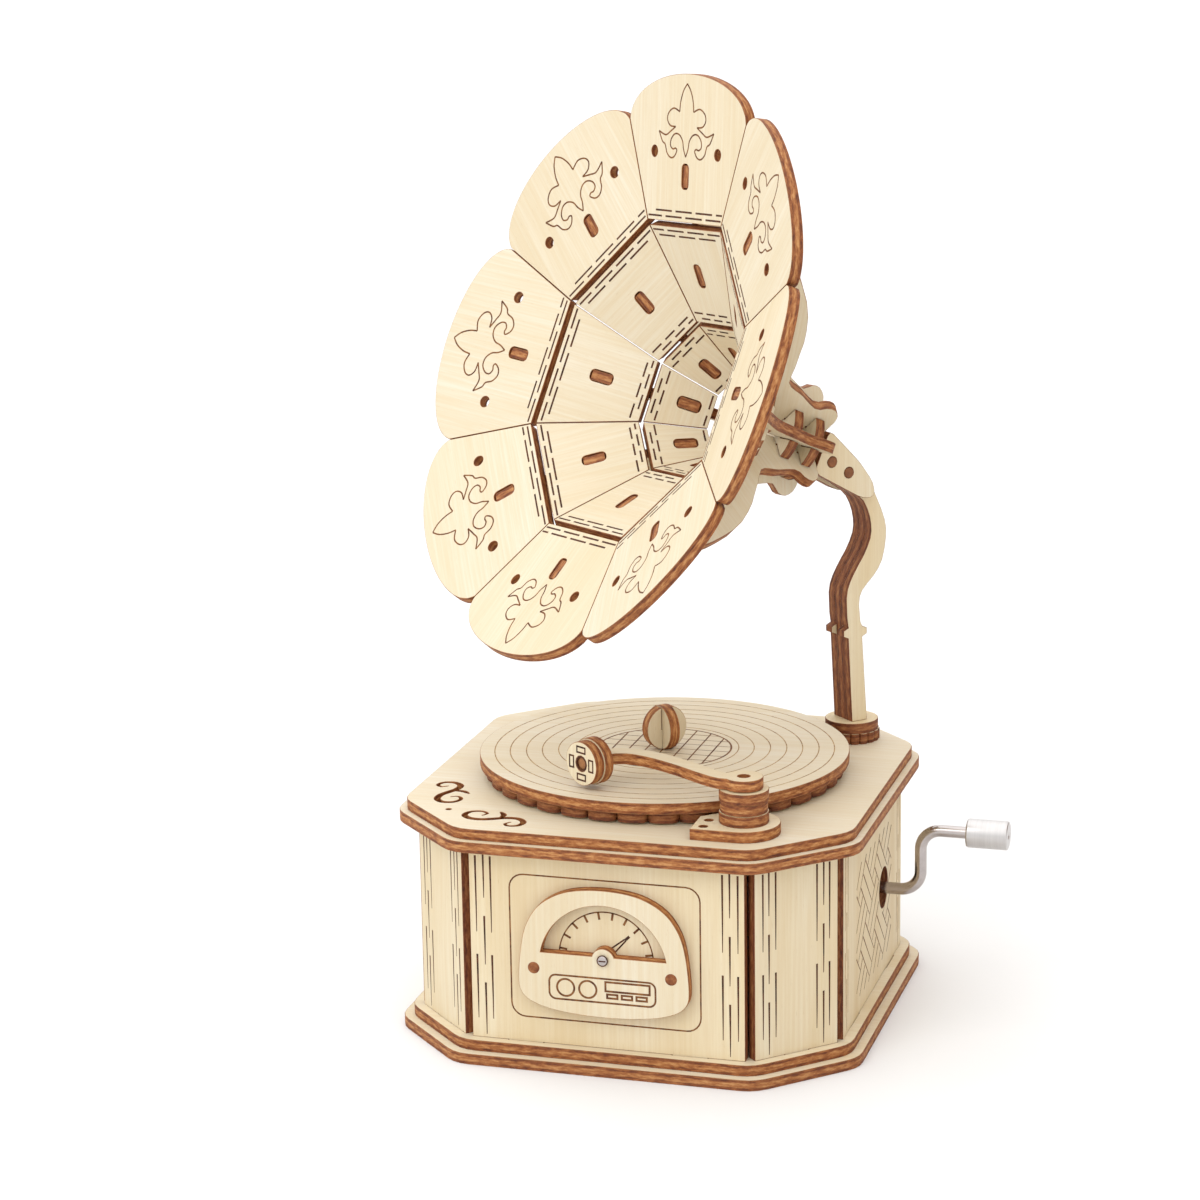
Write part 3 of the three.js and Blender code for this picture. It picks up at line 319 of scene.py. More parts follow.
def birch_edge():
    """The laser-burnt edge of three-ply sheet: brown outer plies, a more golden core, dark char."""
    shader = Shader("birch_edge", 0.7)
    grain = shader.grain()
    through = shader.node("ShaderNodeSeparateXYZ")
    shader.link(grain, through.inputs[0])
    depth = shader.math("ABSOLUTE", through.outputs["Z"])
    wander = shader.noise(shader.scaled(grain, (260, 260, 900)), 1.0, 3, 0.6)
    shift = shader.math("MULTIPLY_ADD", wander, 0.0006)
    shift.node.inputs[2].default_value = -0.0003
    depth = shader.math("ADD", depth, shift)
    core = shader.window(depth, *CORE_HALF)
    mottle = shader.noise(shader.scaled(grain, (420, 420, 1900)), 1.0, 4, 0.7)
    outer = shader.ramp(mottle, [
        (0.34, (0.10, 0.020, 0.003)), (0.5, (0.24, 0.066, 0.012)), (0.66, (0.42, 0.165, 0.045)),
    ])
    inner = shader.ramp(mottle, [
        (0.32, (0.21, 0.058, 0.010)), (0.48, (0.40, 0.150, 0.036)), (0.64, (0.60, 0.31, 0.11)),
    ])
    colour = shader.mix(core, outer, inner)
    rim = shader.window(depth, RIM_START, RIM_END)
    colour = shader.mix(shader.math("MULTIPLY", rim, 0.4), colour, (0.50, 0.27, 0.10))
    colour = shader.mix(shader.tone("Y"), colour, (0.40, 0.24, 0.20), "MULTIPLY")
    shader.bump(mottle, 0.25, 0.0001)
    return shader.finish(colour)


def burn(name, dark, light):
    """A line burnt by the laser, darker in some places than in others."""
    shader = Shader(name, 0.85)
    patches = shader.noise(shader.scaled(shader.place(), (700, 700, 700)), 1.0, 3)
    return shader.finish(shader.ramp(patches, [(0.35, dark), (0.68, light)]))


def metal(name, colour, roughness, streak=(60, 900, 900)):
    shader = Shader(name, roughness, 1.0)
    lines = shader.noise(shader.scaled(shader.place(), streak), 1.0, 4)
    darker = tuple(c * 0.86 for c in colour)
    shader.bump(lines, 0.06, 0.00005)
    return shader.finish(shader.ramp(lines, [(0.3, darker), (0.7, colour)]))


BIRCH_FACE = birch_face()
BIRCH_EDGE = birch_edge()
BURNT_LINE = burn("burnt_line", (0.075, 0.020, 0.006), (0.24, 0.10, 0.03))
FAINT_LINE = burn("faint_line", (0.22, 0.11, 0.035), (0.50, 0.33, 0.15))
# Very dark strips: deep burns, and painted shade where slits open through a sheet and on the screw
# head's slot and rim.
DEEP_BURN_AND_PAINTED_SHADE = burn("soot", (0.030, 0.008, 0.003), (0.11, 0.033, 0.010))
STEEL = metal("polished_steel", (0.50, 0.455, 0.44), 0.2)
TURNED_STEEL = metal("turned_steel", (0.60, 0.58, 0.57), 0.3, (2600, 60, 60))
BRASS = metal("brass", (0.83, 0.62, 0.30), 0.3)
CAST = metal("cast_zinc", (0.46, 0.47, 0.49), 0.5, (300, 300, 300))


# ------------------------------------------------------------------ flat shapes, in millimetres
def arc(radius, start, end, steps, centre=(0, 0)):
    """Points from start to end, both in degrees."""
    angles = [math.radians(start + (end - start) * i / steps) for i in range(steps + 1)]
    return [(centre[0] + radius * math.cos(a), centre[1] + radius * math.sin(a)) for a in angles]


def circle(radius, steps=24, centre=(0, 0)):
    return arc(radius, 0, 360, steps, centre)[:-1]


def rounded_rectangle(x0, y0, x1, y1, radius, steps=6):
    corners = [(x1 - radius, y1 - radius, 0), (x0 + radius, y1 - radius, 90),
               (x0 + radius, y0 + radius, 180), (x1 - radius, y0 + radius, 270)]
    return [p for x, y, turn in corners for p in arc(radius, turn, turn + 90, steps, (x, y))]


def spline(points, steps=6, closed=False):
    """A Catmull-Rom curve through the points, with that many steps between neighbours."""
    count = len(points)
    out = []
    for i in range(count if closed else count - 1):
        ids = [(i + k) % count if closed else min(max(i + k, 0), count - 1) for k in (-1, 0, 1, 2)]
        a, b, c, d = (Vector(points[k]) for k in ids)
        for step in range(steps):
            t = step / steps
            curve = 2 * b + (c - a) * t + (2 * a - 5 * b + 4 * c - d) * t**2
            out.append(tuple((curve + (3 * b - a - 3 * c + d) * t**3) / 2))
    return out if closed else [*out, tuple(points[-1])]


def mirrored(points):
    return [(-x, y) for x, y in reversed(points)]


def turned(points, degrees, centre=(0, 0)):
    a = math.radians(degrees)
    return [(centre[0] + (x - centre[0]) * math.cos(a) - (y - centre[1]) * math.sin(a),
             centre[1] + (x - centre[0]) * math.sin(a) + (y - centre[1]) * math.cos(a))
            for x, y in points]


# ------------------------------------------------------------------ pieces
# How pale the faces are and how burnt the edges are, by the start of a piece's name
TONES = {
    "horn_petal": (0.75, 0.3), "horn_middle": (0.85, 0.4), "horn_inner": (0.7, 0.4),
    "horn_rib": (0.7, 0.4), "horn_hub": (0.5, 0.5), "record_disc": (1.0, 0.2),
    "scalloped_disc": (0.6, 0.7), "top_plate": (1.0, 0.25), "base_plate": (0.6, 0.35),
    "corner_panel": (0.45, 0.75), "front_panel": (0.3, 0.75), "right_panel": (0.1, 0.75),
    "dial_bezel": (0.5, 0.1), "dial_peg": (0, 0.75), "column_peg": (0, 0.75),
    "column": (0.15, 0.65), "tonearm_post": (0.2, 0.35), "tonearm": (0.45, 0.1),
    "sound_box": (0.4, 0.2),
}


TONE_SPREAD = 0.15
WELD_DISTANCE = 0.002


def new_piece(name, bm, body, materials, replaces=()):
    mesh = bpy.data.meshes.new(name)
    bmesh.ops.recalc_face_normals(bm, faces=bm.faces[:])
    bm.to_mesh(mesh)
    bm.free()
    mesh.shade_smooth()
    for material in materials:
        mesh.materials.append(material)
    piece = bpy.data.objects.new(name, mesh)
    bpy.context.scene.collection.objects.link(piece)
    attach(piece, body)
    if replaces:
        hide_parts(*replaces)
    return piece


def ease_edges(piece, width=0.11, segments=2):
    bevel = piece.modifiers.new("eased", "BEVEL")
    bevel.width = width * MM
    bevel.segments = segments
    bevel.limit_method = "ANGLE"
    bevel.angle_limit = math.radians(42)
    bevel.material = len(piece.data.materials) - 1
    bevel.use_clamp_overlap = False
    weighted = piece.modifiers.new("flat_faces", "WEIGHTED_NORMAL")
    weighted.weight = 80


def broad_normal(mesh):
    """The direction that a sheet faces: the one with the most surface square to it."""
    area = {}
    for face in mesh.polygons:
        n = face.normal if face.normal.dot(Vector((0.31, 0.57, 0.76))) > 0 else -face.normal
        key = tuple(round(c, 2) for c in n)
        area.setdefault(key, [0.0, Vector()])
        area[key][0] += face.area
        area[key][1] += n * face.area
    return max(area.values(), key=lambda entry: entry[0])[1].normalized()


def lay_tone(piece):
    """Stores how pale the piece's faces are and how burnt its edges are, by what it is."""
    pale, burnt = next((tone for start, tone in TONES.items() if piece.name.startswith(start)),
                       (0.5, 0.0))
    pale += random.uniform(-TONE_SPREAD, TONE_SPREAD)
    store = piece.data.attributes.new("tone", "FLOAT_VECTOR", "POINT")
    for item in store.data:
        item.vector = (pale, burnt, 0)


def lay_grain(piece, along, normal):
    """Stores each point's wood coordinates and gives faces and edges their materials."""
    lay_tone(piece)
    mesh = piece.data
    along = (Vector(along) - normal * normal.dot(along)).normalized()
    across = normal.cross(along)
    depths = [v.co.dot(normal) for v in mesh.vertices]
    middle = (min(depths) + max(depths)) / 2
    offset = Vector((random.random(), random.random(), 0))
    store = mesh.attributes.new("grain", "FLOAT_VECTOR", "POINT")
    for vertex, depth, item in zip(mesh.vertices, depths, store.data):
        item.vector = Vector((vertex.co.dot(along), vertex.co.dot(across), depth - middle)) + offset
    for face in mesh.polygons:
        face.material_index = 0 if abs(face.normal.dot(normal)) > 0.9 else 1


def body_of_node(node):
    return frame["nodes"][node]["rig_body"]


def node_middle(node):
    low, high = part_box(node)
    return (low + high) / 2


def copy_of_node(node):
    """The CAD node's own mesh, with its shared corners joined and flat faces made whole."""
    bm = bmesh.new()
    bm.from_mesh(frame["nodes"][node].data)
    bmesh.ops.remove_doubles(bm, verts=bm.verts[:], dist=WELD_DISTANCE * MM)
    bmesh.ops.dissolve_limit(bm, angle_limit=math.radians(0.5), verts=bm.verts[:], edges=bm.edges[:])
    return bm


def ply_from_node(node, along=UP, suffix="_ply"):
    """Shows a CAD node as plywood: same shape, eased burnt edges, grain running along."""
    piece = new_piece(node + suffix, copy_of_node(node), body_of_node(node),
                      [BIRCH_FACE, BIRCH_EDGE], [node])
    lay_grain(piece, along, broad_normal(piece.data))
    ease_edges(piece)
    return piece


def one_material(piece):
    """Gives a turned piece its first material all over, as it has no flat faces or edges."""
    for face in piece.data.polygons:
        face.material_index = 0


def sheet(outline, holes=(), thickness=PLY):
    """A plate in the XY plane from z 0 up to its thickness, in millimetres."""
    bm = bmesh.new()
    for loop in (outline, *holes):
        verts = [bm.verts.new((x, y, 0)) for x, y in loop]
        for a, b in zip(verts, verts[1:] + verts[:1]):
            bm.edges.new((a, b))
    bmesh.ops.triangle_fill(bm, use_beauty=True, use_dissolve=False, edges=bm.edges[:])
    made = bmesh.ops.extrude_face_region(bm, geom=bm.faces[:], use_keep_orig=True)
    raised = [item for item in made["geom"] if isinstance(item, bmesh.types.BMVert)]
    bmesh.ops.translate(bm, verts=raised, vec=(0, 0, thickness))
    return bm


def put(bm, place):
    """Moves millimetre geometry into the row frame by the given placement."""
    bmesh.ops.transform(bm, matrix=place @ Matrix.Scale(MM, 4), verts=bm.verts[:])
    return bm


def ply_sheet(name, bm, place, body, replaces=(), along=None):
    """A plywood plate drawn flat with sheet(), placed and finished."""
    piece = new_piece(name, put(bm, place), body, [BIRCH_FACE, BIRCH_EDGE], replaces)
    normal = (place.to_3x3() @ UP).normalized()
    lay_grain(piece, along or place.to_3x3() @ Vector((0, 1, 0)), normal)
    ease_edges(piece)
    return piece


def placement(x_axis, y_axis, origin):
    """A placement whose z axis is x cross y, with its origin in metres."""
    z_axis = Vector(x_axis).cross(Vector(y_axis)).normalized()
    turn = Matrix((Vector(x_axis).normalized(), Vector(y_axis).normalized(), z_axis)).transposed()
    return Matrix.Translation(origin) @ turn.to_4x4()


# ------------------------------------------------------------------ engraved lines
def add_line(bm, points, width, closed=False, taper=0.0, low=-0.05, high=0.02):
    """One dark line, burnt or painted shade, as a thin closed strip that follows the points, in
    millimetres.

    Taper is the share of the width lost at the first point.
    """
    count = len(points)
    spots = [Vector(p) for p in points]
    rings = []
    for i, spot in enumerate(spots):
        before = spots[i - 1] if closed or i else spot
        after = spots[(i + 1) % count] if closed or i < count - 1 else spot
        into, out = spot - before, after - spot
        into = into.normalized() if into.length > 1e-6 else out.normalized()
        out = out.normalized() if out.length > 1e-6 else into
        heading = (into + out).normalized()
        across = Vector((-heading.y, heading.x))
        mitre = 1 / max(0.5, heading.dot(into))
        half = width / 2 * mitre * (1 - taper * (1 - i / max(1, count - 1)))
        rings.append([bm.verts.new((*(spot + across * side * half), z))
                      for side, z in ((1, low), (-1, low), (-1, high), (1, high))])
    pairs = zip(rings, rings[1:] + rings[:1] if closed else rings[1:])
    for a, b in pairs:
        for k in range(4):
            bm.faces.new((a[k], a[(k + 1) % 4], b[(k + 1) % 4], b[k]))
    if not closed:
        bm.faces.new(rings[0])
        bm.faces.new(reversed(rings[-1]))


def engrave(name, place, body, lines, material=BURNT_LINE):
    """Dark lines on a flat face: burnt lines, and strips of painted shade where slits open. Each
    line is (points, width) or (points, width, closed, taper).
    """
    bm = bmesh.new()
    for line in lines:
        add_line(bm, *line)
    piece = new_piece(name, put(bm, place), body, [material])
    for face in piece.data.polygons:
        face.use_smooth = False
    return piece


def dash_column(x, spans, width=0.46):
    """Slits one above another: each span is (from, to), thin at its far end."""
    return [(((x, low), (x + 0.02, low + (high - low) * 0.4), (x, high)), width, False, 0.65)
            for low, high in spans]


# ------------------------------------------------------------------ the box
OUTER_SLITS = [(29.5, 47.0), (9.5, 24.3)]
MIDDLE_SLITS = [(37.4, 48.2), (22.0, 33.2), (5.8, 17.8)]
CORNERS = {
    "corner_panel_front_right": (1, -1), "corner_panel_back_right": (1, 1),
    "corner_panel_back_left": (-1, 1), "corner_panel_front_left": (-1, -1),
}
MAIN_WALLS = {
    "front_panel": (0, -1), "right_panel": (1, 0), "back_panel": (0, 1), "left_panel": (-1, 0),
}
CORNER_COLUMNS = [8.4, 6.9, 5.2]  # slit columns from the middle of a corner panel
FRONT_COLUMNS = [29.4, 27.6, 26.0]
RIGHT_COLUMNS = [29.4, 27.9, 26.6]
LATTICE = (-18.0, 8.6, 20.4, 40.0)  # the engraved field on the right wall: y and z, low then high
LATTICE_CELL = 10.4
LATTICE_HALF_STROKE = 0.62  # of a cell
LATTICE_WIDTH = 0.42
LATTICE_ROUNDING = 3
CRANK_PLACE = (11.5, 25.7)  # of the crank's axis on the right wall: y and z
CRANK_CLEARANCE = 5.6


def face_of(node, outward, up=UP):
    """A placement on the node's outer face: x along it, y up, centred, with y 0 at the ground."""
    outward = Vector(outward).normalized()
    x_axis = up.cross(outward).normalized()
    points = [v.co for v in frame["nodes"][node].data.vertices]
    along = [p.dot(x_axis) for p in points]
    height = max(p.dot(outward) for p in points)
    origin = x_axis * (min(along) + max(along)) / 2 + outward * height
    return placement(x_axis, outward.cross(x_axis), origin)


def slit_columns(columns):
    lines = []
    for side in (1, -1):
        for number, x in enumerate(columns):
            spans = MIDDLE_SLITS if number == 1 else OUTER_SLITS
            lines += dash_column(side * x, spans)
    return lines


def inside_lattice(p):
    x0, y0, x1, y1 = LATTICE
    clear = math.dist(p, CRANK_PLACE) > CRANK_CLEARANCE
    past_x = max(0, abs(p[0] - (x0 + x1) / 2) - (x1 - x0) / 2 + LATTICE_ROUNDING)
    past_y = max(0, abs(p[1] - (y0 + y1) / 2) - (y1 - y0) / 2 + LATTICE_ROUNDING)
    return clear and math.hypot(past_x, past_y) < LATTICE_ROUNDING


def lattice_stroke(i, j, stroke):
    """The part of one stroke of one cell that lies inside the field, as its two ends."""
    across = stroke * LATTICE_CELL / 3
    reach = LATTICE_HALF_STROKE * LATTICE_CELL
    ends = [(-reach, across), (reach, across)]
    local = [(b, a) if (i + j) % 2 else (a, b) for a, b in ends]
    shifted = [(a + i * LATTICE_CELL, b + j * LATTICE_CELL) for a, b in local]
    (ax, ay), (bx, by) = turned(shifted, 45)
    centre = ((LATTICE[0] + LATTICE[2]) / 2, (LATTICE[1] + LATTICE[3]) / 2)
    points = [(centre[0] + ax + (bx - ax) * t / 24, centre[1] + ay + (by - ay) * t / 24)
              for t in range(25)]
    kept = [p for p in points if inside_lattice(p)]
    return [kept[0], kept[-1]] if len(kept) > 5 else None


def lattice_lines():
    """A plain basket weave: diamonds that hold three strokes, each crossing its neighbours'."""
    cells = range(-5, 6)
    strokes = [lattice_stroke(i, j, k) for i in cells for j in cells for k in (-1, 0, 1)]
    return [(ends, LATTICE_WIDTH, False, 0.5) for ends in strokes if ends]


def build_box():
    for node in ("base_plate_lower", "base_plate_upper", "top_plate_lower", "top_plate_upper"):
        ply_from_node(node, along=(1, 0, 0))
    for node, outward in {**MAIN_WALLS, **CORNERS}.items():
        ply_from_node(node)
        place = face_of(node, (*outward, 0))
        columns = CORNER_COLUMNS if node in CORNERS else FRONT_COLUMNS
        if node != "right_panel":
            # The slits go through the sheet: their dark strips are painted shade of the openings,
            # with the burnt kerf.
            engrave(node + "_slits", place, "case", slit_columns(columns), DEEP_BURN_AND_PAINTED_SHADE)
    side = face_of("right_panel", (1, 0, 0))
    engrave("right_panel_lattice", side, "case", lattice_lines())
    # These slits go through the sheet too: their faint strips are painted shade of the openings.
    engrave("right_panel_slits", side, "case", slit_columns(RIGHT_COLUMNS), FAINT_LINE)


# ------------------------------------------------------------------ the dial
PIVOT_Z = 26.3
SCALE_RADIUS = 10.6
SCALE_CENTRE = (0, 25.8)
NEEDLE_TIP = (5.3, 31.3)
WINDOW_RADIUS = 14.4
WINDOW_CENTRE = (0, 24.2)
TAB_RADIUS = 2.6
SCREW_HOLE_RADIUS = 0.8
PEG_HEIGHT = 23.25
PEG_PLACES = {"left": -15.7, "right": 15.2}
PEG_RADIUS = 1.5
BORDER = (-21.7, 10.8, 21.1, 43.5)  # x and height, low then high
BORDER_ROUNDING = 3.2
PANEL_WIDTH = 0.46  # of the small panel's engraved lines


def bezel_outline():
    half = [(0, 13.1), (9, 13.6), (15.2, 15.0), (18.4, 17.2), (19.2, 21.1), (18.2, 30),
            (16.2, 35.2), (12.9, 38.8), (7.5, 41.3)]
    rest = [(0, 42.1)] + [(-x, y) for x, y in reversed(half[1:])]
    return spline(half + rest, 5, closed=True)


def window_outline():
    dome = arc(WINDOW_RADIUS, 11.2, 168.8, 40, WINDOW_CENTRE)
    tab = arc(TAB_RADIUS, 164, 16, 12, (0, PIVOT_Z))
    return dome + tab


def scale_lines():
    lines = [(arc(SCALE_RADIUS, 3, 177, 40, SCALE_CENTRE), 0.3)]
    for number in range(10):
        angle = math.radians(9 + 18 * number)
        tick = [(SCALE_CENTRE[0] + r * math.cos(angle), SCALE_CENTRE[1] + r * math.sin(angle))
                for r in (SCALE_RADIUS + 0.1, SCALE_RADIUS - 1.7)]
        lines.append((tick, 0.5))
    return lines


def needle_lines():
    pivot, tip = Vector((0, PIVOT_Z)), Vector(NEEDLE_TIP)
    heading = tip - pivot
    across = Vector((-heading.y, heading.x)).normalized()
    root = pivot + heading * 0.25
    shoulder = pivot + heading * 0.82
    sides = [([tuple(root + across * side * 0.62), tuple(shoulder + across * side * 0.2)], 0.36)
             for side in (1, -1)]
    return [*sides, ([tuple(shoulder), tuple(tip)], 0.62)]


def panel_lines():
    lines = [(rounded_rectangle(-12.2, 16.6, 11.7, 22.1, 1.5), 0.42, True)]
    for x in (-8.5, -3.5):
        lines.append((circle(1.95, 28, (x, 19.35)), PANEL_WIDTH, True))
    lines.append(([(0.5, 19.3), (10.4, 19.3), (10.4, 21.4), (0.5, 21.4)], PANEL_WIDTH, True))
    for x in (2.0, 5.3, 8.6):
        button = [(x - 1.15, 17.75), (x + 1.15, 17.75), (x + 1.15, 18.6), (x - 1.15, 18.6)]
        lines.append((button, PANEL_WIDTH, True))
    return lines


def lathe(profile, place, steps=40):
    """A turned solid: profile is (radius, height) along z, from axis to axis."""
    bm = bmesh.new()
    rings = []
    for radius, height in profile:
        if radius < 1e-6:
            rings.append([bm.verts.new((0, 0, height))])
        else:
            rings.append([bm.verts.new((x, y, height)) for x, y in circle(radius, steps)])
    for low, high in zip(rings, rings[1:]):
        for k in range(steps):
            a, b = low[k % len(low)], low[(k + 1) % len(low)]
            c, d = high[(k + 1) % len(high)], high[k % len(high)]
            corners = list(dict.fromkeys((a, b, c, d)))
            bm.faces.new(corners)
    return put(bm, place)


def sharpen(piece, degrees=35):
    """Keeps turned edges crisp while round surfaces stay smooth."""
    piece.data.set_sharp_from_angle(angle=math.radians(degrees))


def peg(name, place, radius, low, high, body, replaces=()):
    """A round wooden pin with a burnt, slightly worn end."""
    ease = 0.25
    profile = [(0, low), (radius - ease, low), (radius, low + ease), (radius, high - ease),
               (radius - ease, high - 0.06), (radius * 0.55, high), (0, high)]
    piece = new_piece(name, lathe(profile, place, 28), body, [BIRCH_EDGE], replaces)
    lay_grain(piece, place.to_3x3() @ Vector((1, 0, 0)), place.to_3x3() @ UP)
    one_material(piece)
    sharpen(piece)
    return piece


def build_dial():
    wall = face_of("front_panel", (0, -1, 0))
    frame_line = rounded_rectangle(*BORDER, BORDER_ROUNDING)
    engrave("dial_border", wall, "case", [(frame_line, 0.34, True)])
    engrave("dial_scale", wall, "case", scale_lines())
    engrave("dial_needle", wall, "case", needle_lines(), DEEP_BURN_AND_PAINTED_SHADE)

    low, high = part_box("dial_bezel")
    back = placement((1, 0, 0), UP, Vector((0, high.y, 0)))
    bm = sheet(bezel_outline(), [window_outline(), circle(SCREW_HOLE_RADIUS, 20, (0, PIVOT_Z))])
    ply_sheet("dial_bezel_ply", bm, back, "case", ["dial_bezel"])
    front = placement((1, 0, 0), UP, Vector((0, low.y, 0)))
    engrave("dial_panel", front, "case", panel_lines())
    for side, x in PEG_PLACES.items():
        place = front @ Matrix.Translation(Vector((x, PEG_HEIGHT, 0)) * MM)
        peg(f"dial_peg_{side}", place, PEG_RADIUS, -0.5, 0.12, "case")
    build_dial_screw(front @ Matrix.Translation(Vector((0, PIVOT_Z, 0)) * MM))


def build_dial_screw(place):
    head = [(0, -2.4), (0.66, -2.4), (0.66, 0.12), (1.17, 0.12), (1.19, 0.35), (0.98, 0.6),
            (0.5, 0.69), (0, 0.7)]
    screw = new_piece("dial_screw_turned", lathe(head, place, 32), "case", [STEEL],
                      ["dial_screw"])
    sharpen(screw)
    # A dark ring on the head's rim and a dark bar across it: painted shade for the rim's edge and
    # for a slot that is not cut in the head.
    ring = [(circle(1.12, 32), 0.3, True, 0.0, 0.3, 0.5)]
    slot = [([(-0.78, 0), (0.78, 0)], 0.3, False, 0.0, 0.4, 0.72)]
    engrave("dial_screw_slot", place, "case", ring + slot, DEEP_BURN_AND_PAINTED_SHADE)


# ------------------------------------------------------------------ the turntable
GROOVE_RADII = [16.9, 20.4, 24.1, 27.8, 31.4, 35.1, 38.6]
LABEL_RADIUS = 15.2
LABEL_GRID = 3.8
LOBES = 36
LOBE_TIP, LOBE_ROOT = 40.7, 38.7
SPINDLE_RADIUS = 1.5
COLLAR_RADIUS = 4


def scalloped_outline(count, tip, root):
    """Round lobes side by side, each a smooth hump between two narrow notches."""
    pitch = 360 / count
    hump = [(0.0, root), (0.045, root + (tip - root) * 0.45), (0.12, root + (tip - root) * 0.78),
            (0.24, tip - 0.12), (0.38, tip), (0.5, tip), (0.62, tip), (0.76, tip - 0.12),
            (0.88, root + (tip - root) * 0.78), (0.955, root + (tip - root) * 0.45)]
    points = []
    for lobe in range(count):
        for share, radius in hump:
            a = math.radians((lobe + share) * pitch)
            points.append((radius * math.cos(a), radius * math.sin(a)))
    return points


def label_lines():
    lines = []
    for step in range(-3, 4):
        at = step * LABEL_GRID
        half = math.sqrt(LABEL_RADIUS**2 - at**2)
        lines.append(([(at, -half), (at, half)], 0.34))
        lines.append(([(-half, at), (half, at)], 0.2))
    return lines


def build_turntable():
    low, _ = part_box("scalloped_disc")
    disc = Matrix.Translation((0, 0, low.z))
    bore = circle(SPINDLE_RADIUS + PLAY, 20)
    bm = sheet(scalloped_outline(LOBES, LOBE_TIP, LOBE_ROOT), [bore])
    ply_sheet("scalloped_disc_ply", bm, disc, "turntable", ["scalloped_disc"])

    low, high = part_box("record_disc")
    bm = sheet(circle(high.x / MM, 144), [bore])
    ply_sheet("record_disc_ply", bm, Matrix.Translation((0, 0, low.z)), "turntable",
              ["record_disc"], (1, 0, 0))
    top = Matrix.Translation((0, 0, high.z))
    grooves = [(circle(radius, 120), 0.24, True) for radius in GROOVE_RADII]
    engrave("record_grooves", top, "turntable", grooves, FAINT_LINE)
    engrave("record_label_ring", top, "turntable", [(circle(LABEL_RADIUS, 96), 0.42, True)])
    engrave("record_label_grid", top, "turntable", label_lines())
    ply_from_node("knob_disc_a")
    ply_from_node("knob_disc_b")
    build_spindle()


def build_spindle():
    low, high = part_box("turntable_spindle")
    foot, top = low.z / MM, high.z / MM
    profile = [(0, foot), (COLLAR_RADIUS, foot), (COLLAR_RADIUS, foot + PLY),
               (SPINDLE_RADIUS, foot + PLY), (SPINDLE_RADIUS, top), (0, top)]
    piece = new_piece("turntable_spindle_turned", lathe(profile, Matrix.Identity(4), 32),
                      "turntable", [BIRCH_EDGE], ["turntable_spindle"])
    lay_grain(piece, (1, 0, 0), UP)
    one_material(piece)
    sharpen(piece)


# ------------------------------------------------------------------ the tonearm
POST_DISCS = 3
POST_RADIUS = 5.4
MIDDLE_DISC_INSET = 0.25
PIN_RADIUS = 1.3
DISC_GAP = 0.06


def build_tonearm():
    ply_from_node("tonearm_base", along=(1, 0, 0))
    ply_from_node("tonearm", along=(1, 0, 0))
    ply_from_node("sound_box_front")
    ply_from_node("sound_box_back")
    low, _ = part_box("tonearm_post")
    centre = node_middle("tonearm_post")
    for number in range(POST_DISCS):
        place = Matrix.Translation((centre.x, centre.y, low.z + number * PLY * MM))
        radius = POST_RADIUS - (MIDDLE_DISC_INSET if number == 1 else 0)
        bm = sheet(circle(radius, 64), [circle(PIN_RADIUS + PLAY, 20)], PLY - DISC_GAP)
        ply_sheet(f"tonearm_post_{number + 1}", bm, place, "case",
                  ["tonearm_post"] if number == 0 else (), (1, 0, 0))
    low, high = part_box("tonearm_pin")
    pin = Matrix.Translation(((low.x + high.x) / 2, (low.y + high.y) / 2, 0))
    peg("tonearm_pin_turned", pin, PIN_RADIUS, low.z / MM, high.z / MM, "case", ["tonearm_pin"])
    build_sound_box_face()


def build_sound_box_face():
    front = frame["nodes"]["sound_box_front"]
    back = frame["nodes"]["sound_box_back"]
    middles = [sum((v.co for v in o.data.vertices), Vector()) / len(o.data.vertices)
               for o in (front, back)]
    outward = (middles[0] - middles[1]).normalized()
    place = face_of("sound_box_front", outward)
    place = place @ Matrix.Translation((0, node_middle("sound_box_front").z, 0))
    lines = []
    for quarter in range(4):
        turn = 90 * quarter
        rectangle = turned([(-1.3, 2.45), (1.3, 2.45), (1.3, 3.75), (-1.3, 3.75)], turn)
        lines.append((rectangle, 0.4, True))
    lines.append((circle(1.55, 28), 0.3, True))
    engrave("sound_box_pattern", place, "tonearm", lines, DEEP_BURN_AND_PAINTED_SHADE)
    peg("sound_box_pin", place, 1.4, -4.6, -0.25, "tonearm")


# ------------------------------------------------------------------ the column
FOOT_LOBES = 18
FOOT_LOBE_DEPTH = 0.7
COLUMN_PEG_RADIUS = 1.2


def build_column():
    foot_low, foot_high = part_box("column_foot_lower")
    centre = (foot_low + foot_high) / 2
    radius = (foot_high.x - foot_low.x) / 2 / MM
    bm = sheet(scalloped_outline(FOOT_LOBES, radius, radius - FOOT_LOBE_DEPTH))
    ply_sheet("column_foot_lower_ply", bm, Matrix.Translation((centre.x, centre.y, foot_low.z)),
              "case", ["column_foot_lower"])
    low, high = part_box("column_foot_upper")
    bm = sheet(circle((high.x - low.x) / 2 / MM, 72))
    ply_sheet("column_foot_upper_ply", bm, Matrix.Translation((centre.x, centre.y, low.z)),
              "case", ["column_foot_upper"])
    for node in ("column_core", "column_side_near", "column_side_far", "column_cheek_near",
                 "column_cheek_far"):
        ply_from_node(node)
    for node in ("column_peg_upper", "column_peg_lower"):
        build_column_peg(node)


def build_column_peg(node):
    """The peg lies square to the column's layers."""
    across = broad_normal(frame["nodes"]["column_core"].data)
    points = [v.co for v in frame["nodes"][node].data.vertices]
    along = [p.dot(across) for p in points]
    x_axis = UP.cross(across).normalized()
    place = placement(x_axis, across.cross(x_axis), node_middle(node))
    half = (max(along) - min(along)) / 2 / MM
    peg(node + "_turned", place, COLUMN_PEG_RADIUS, -half, half, "case", [node])


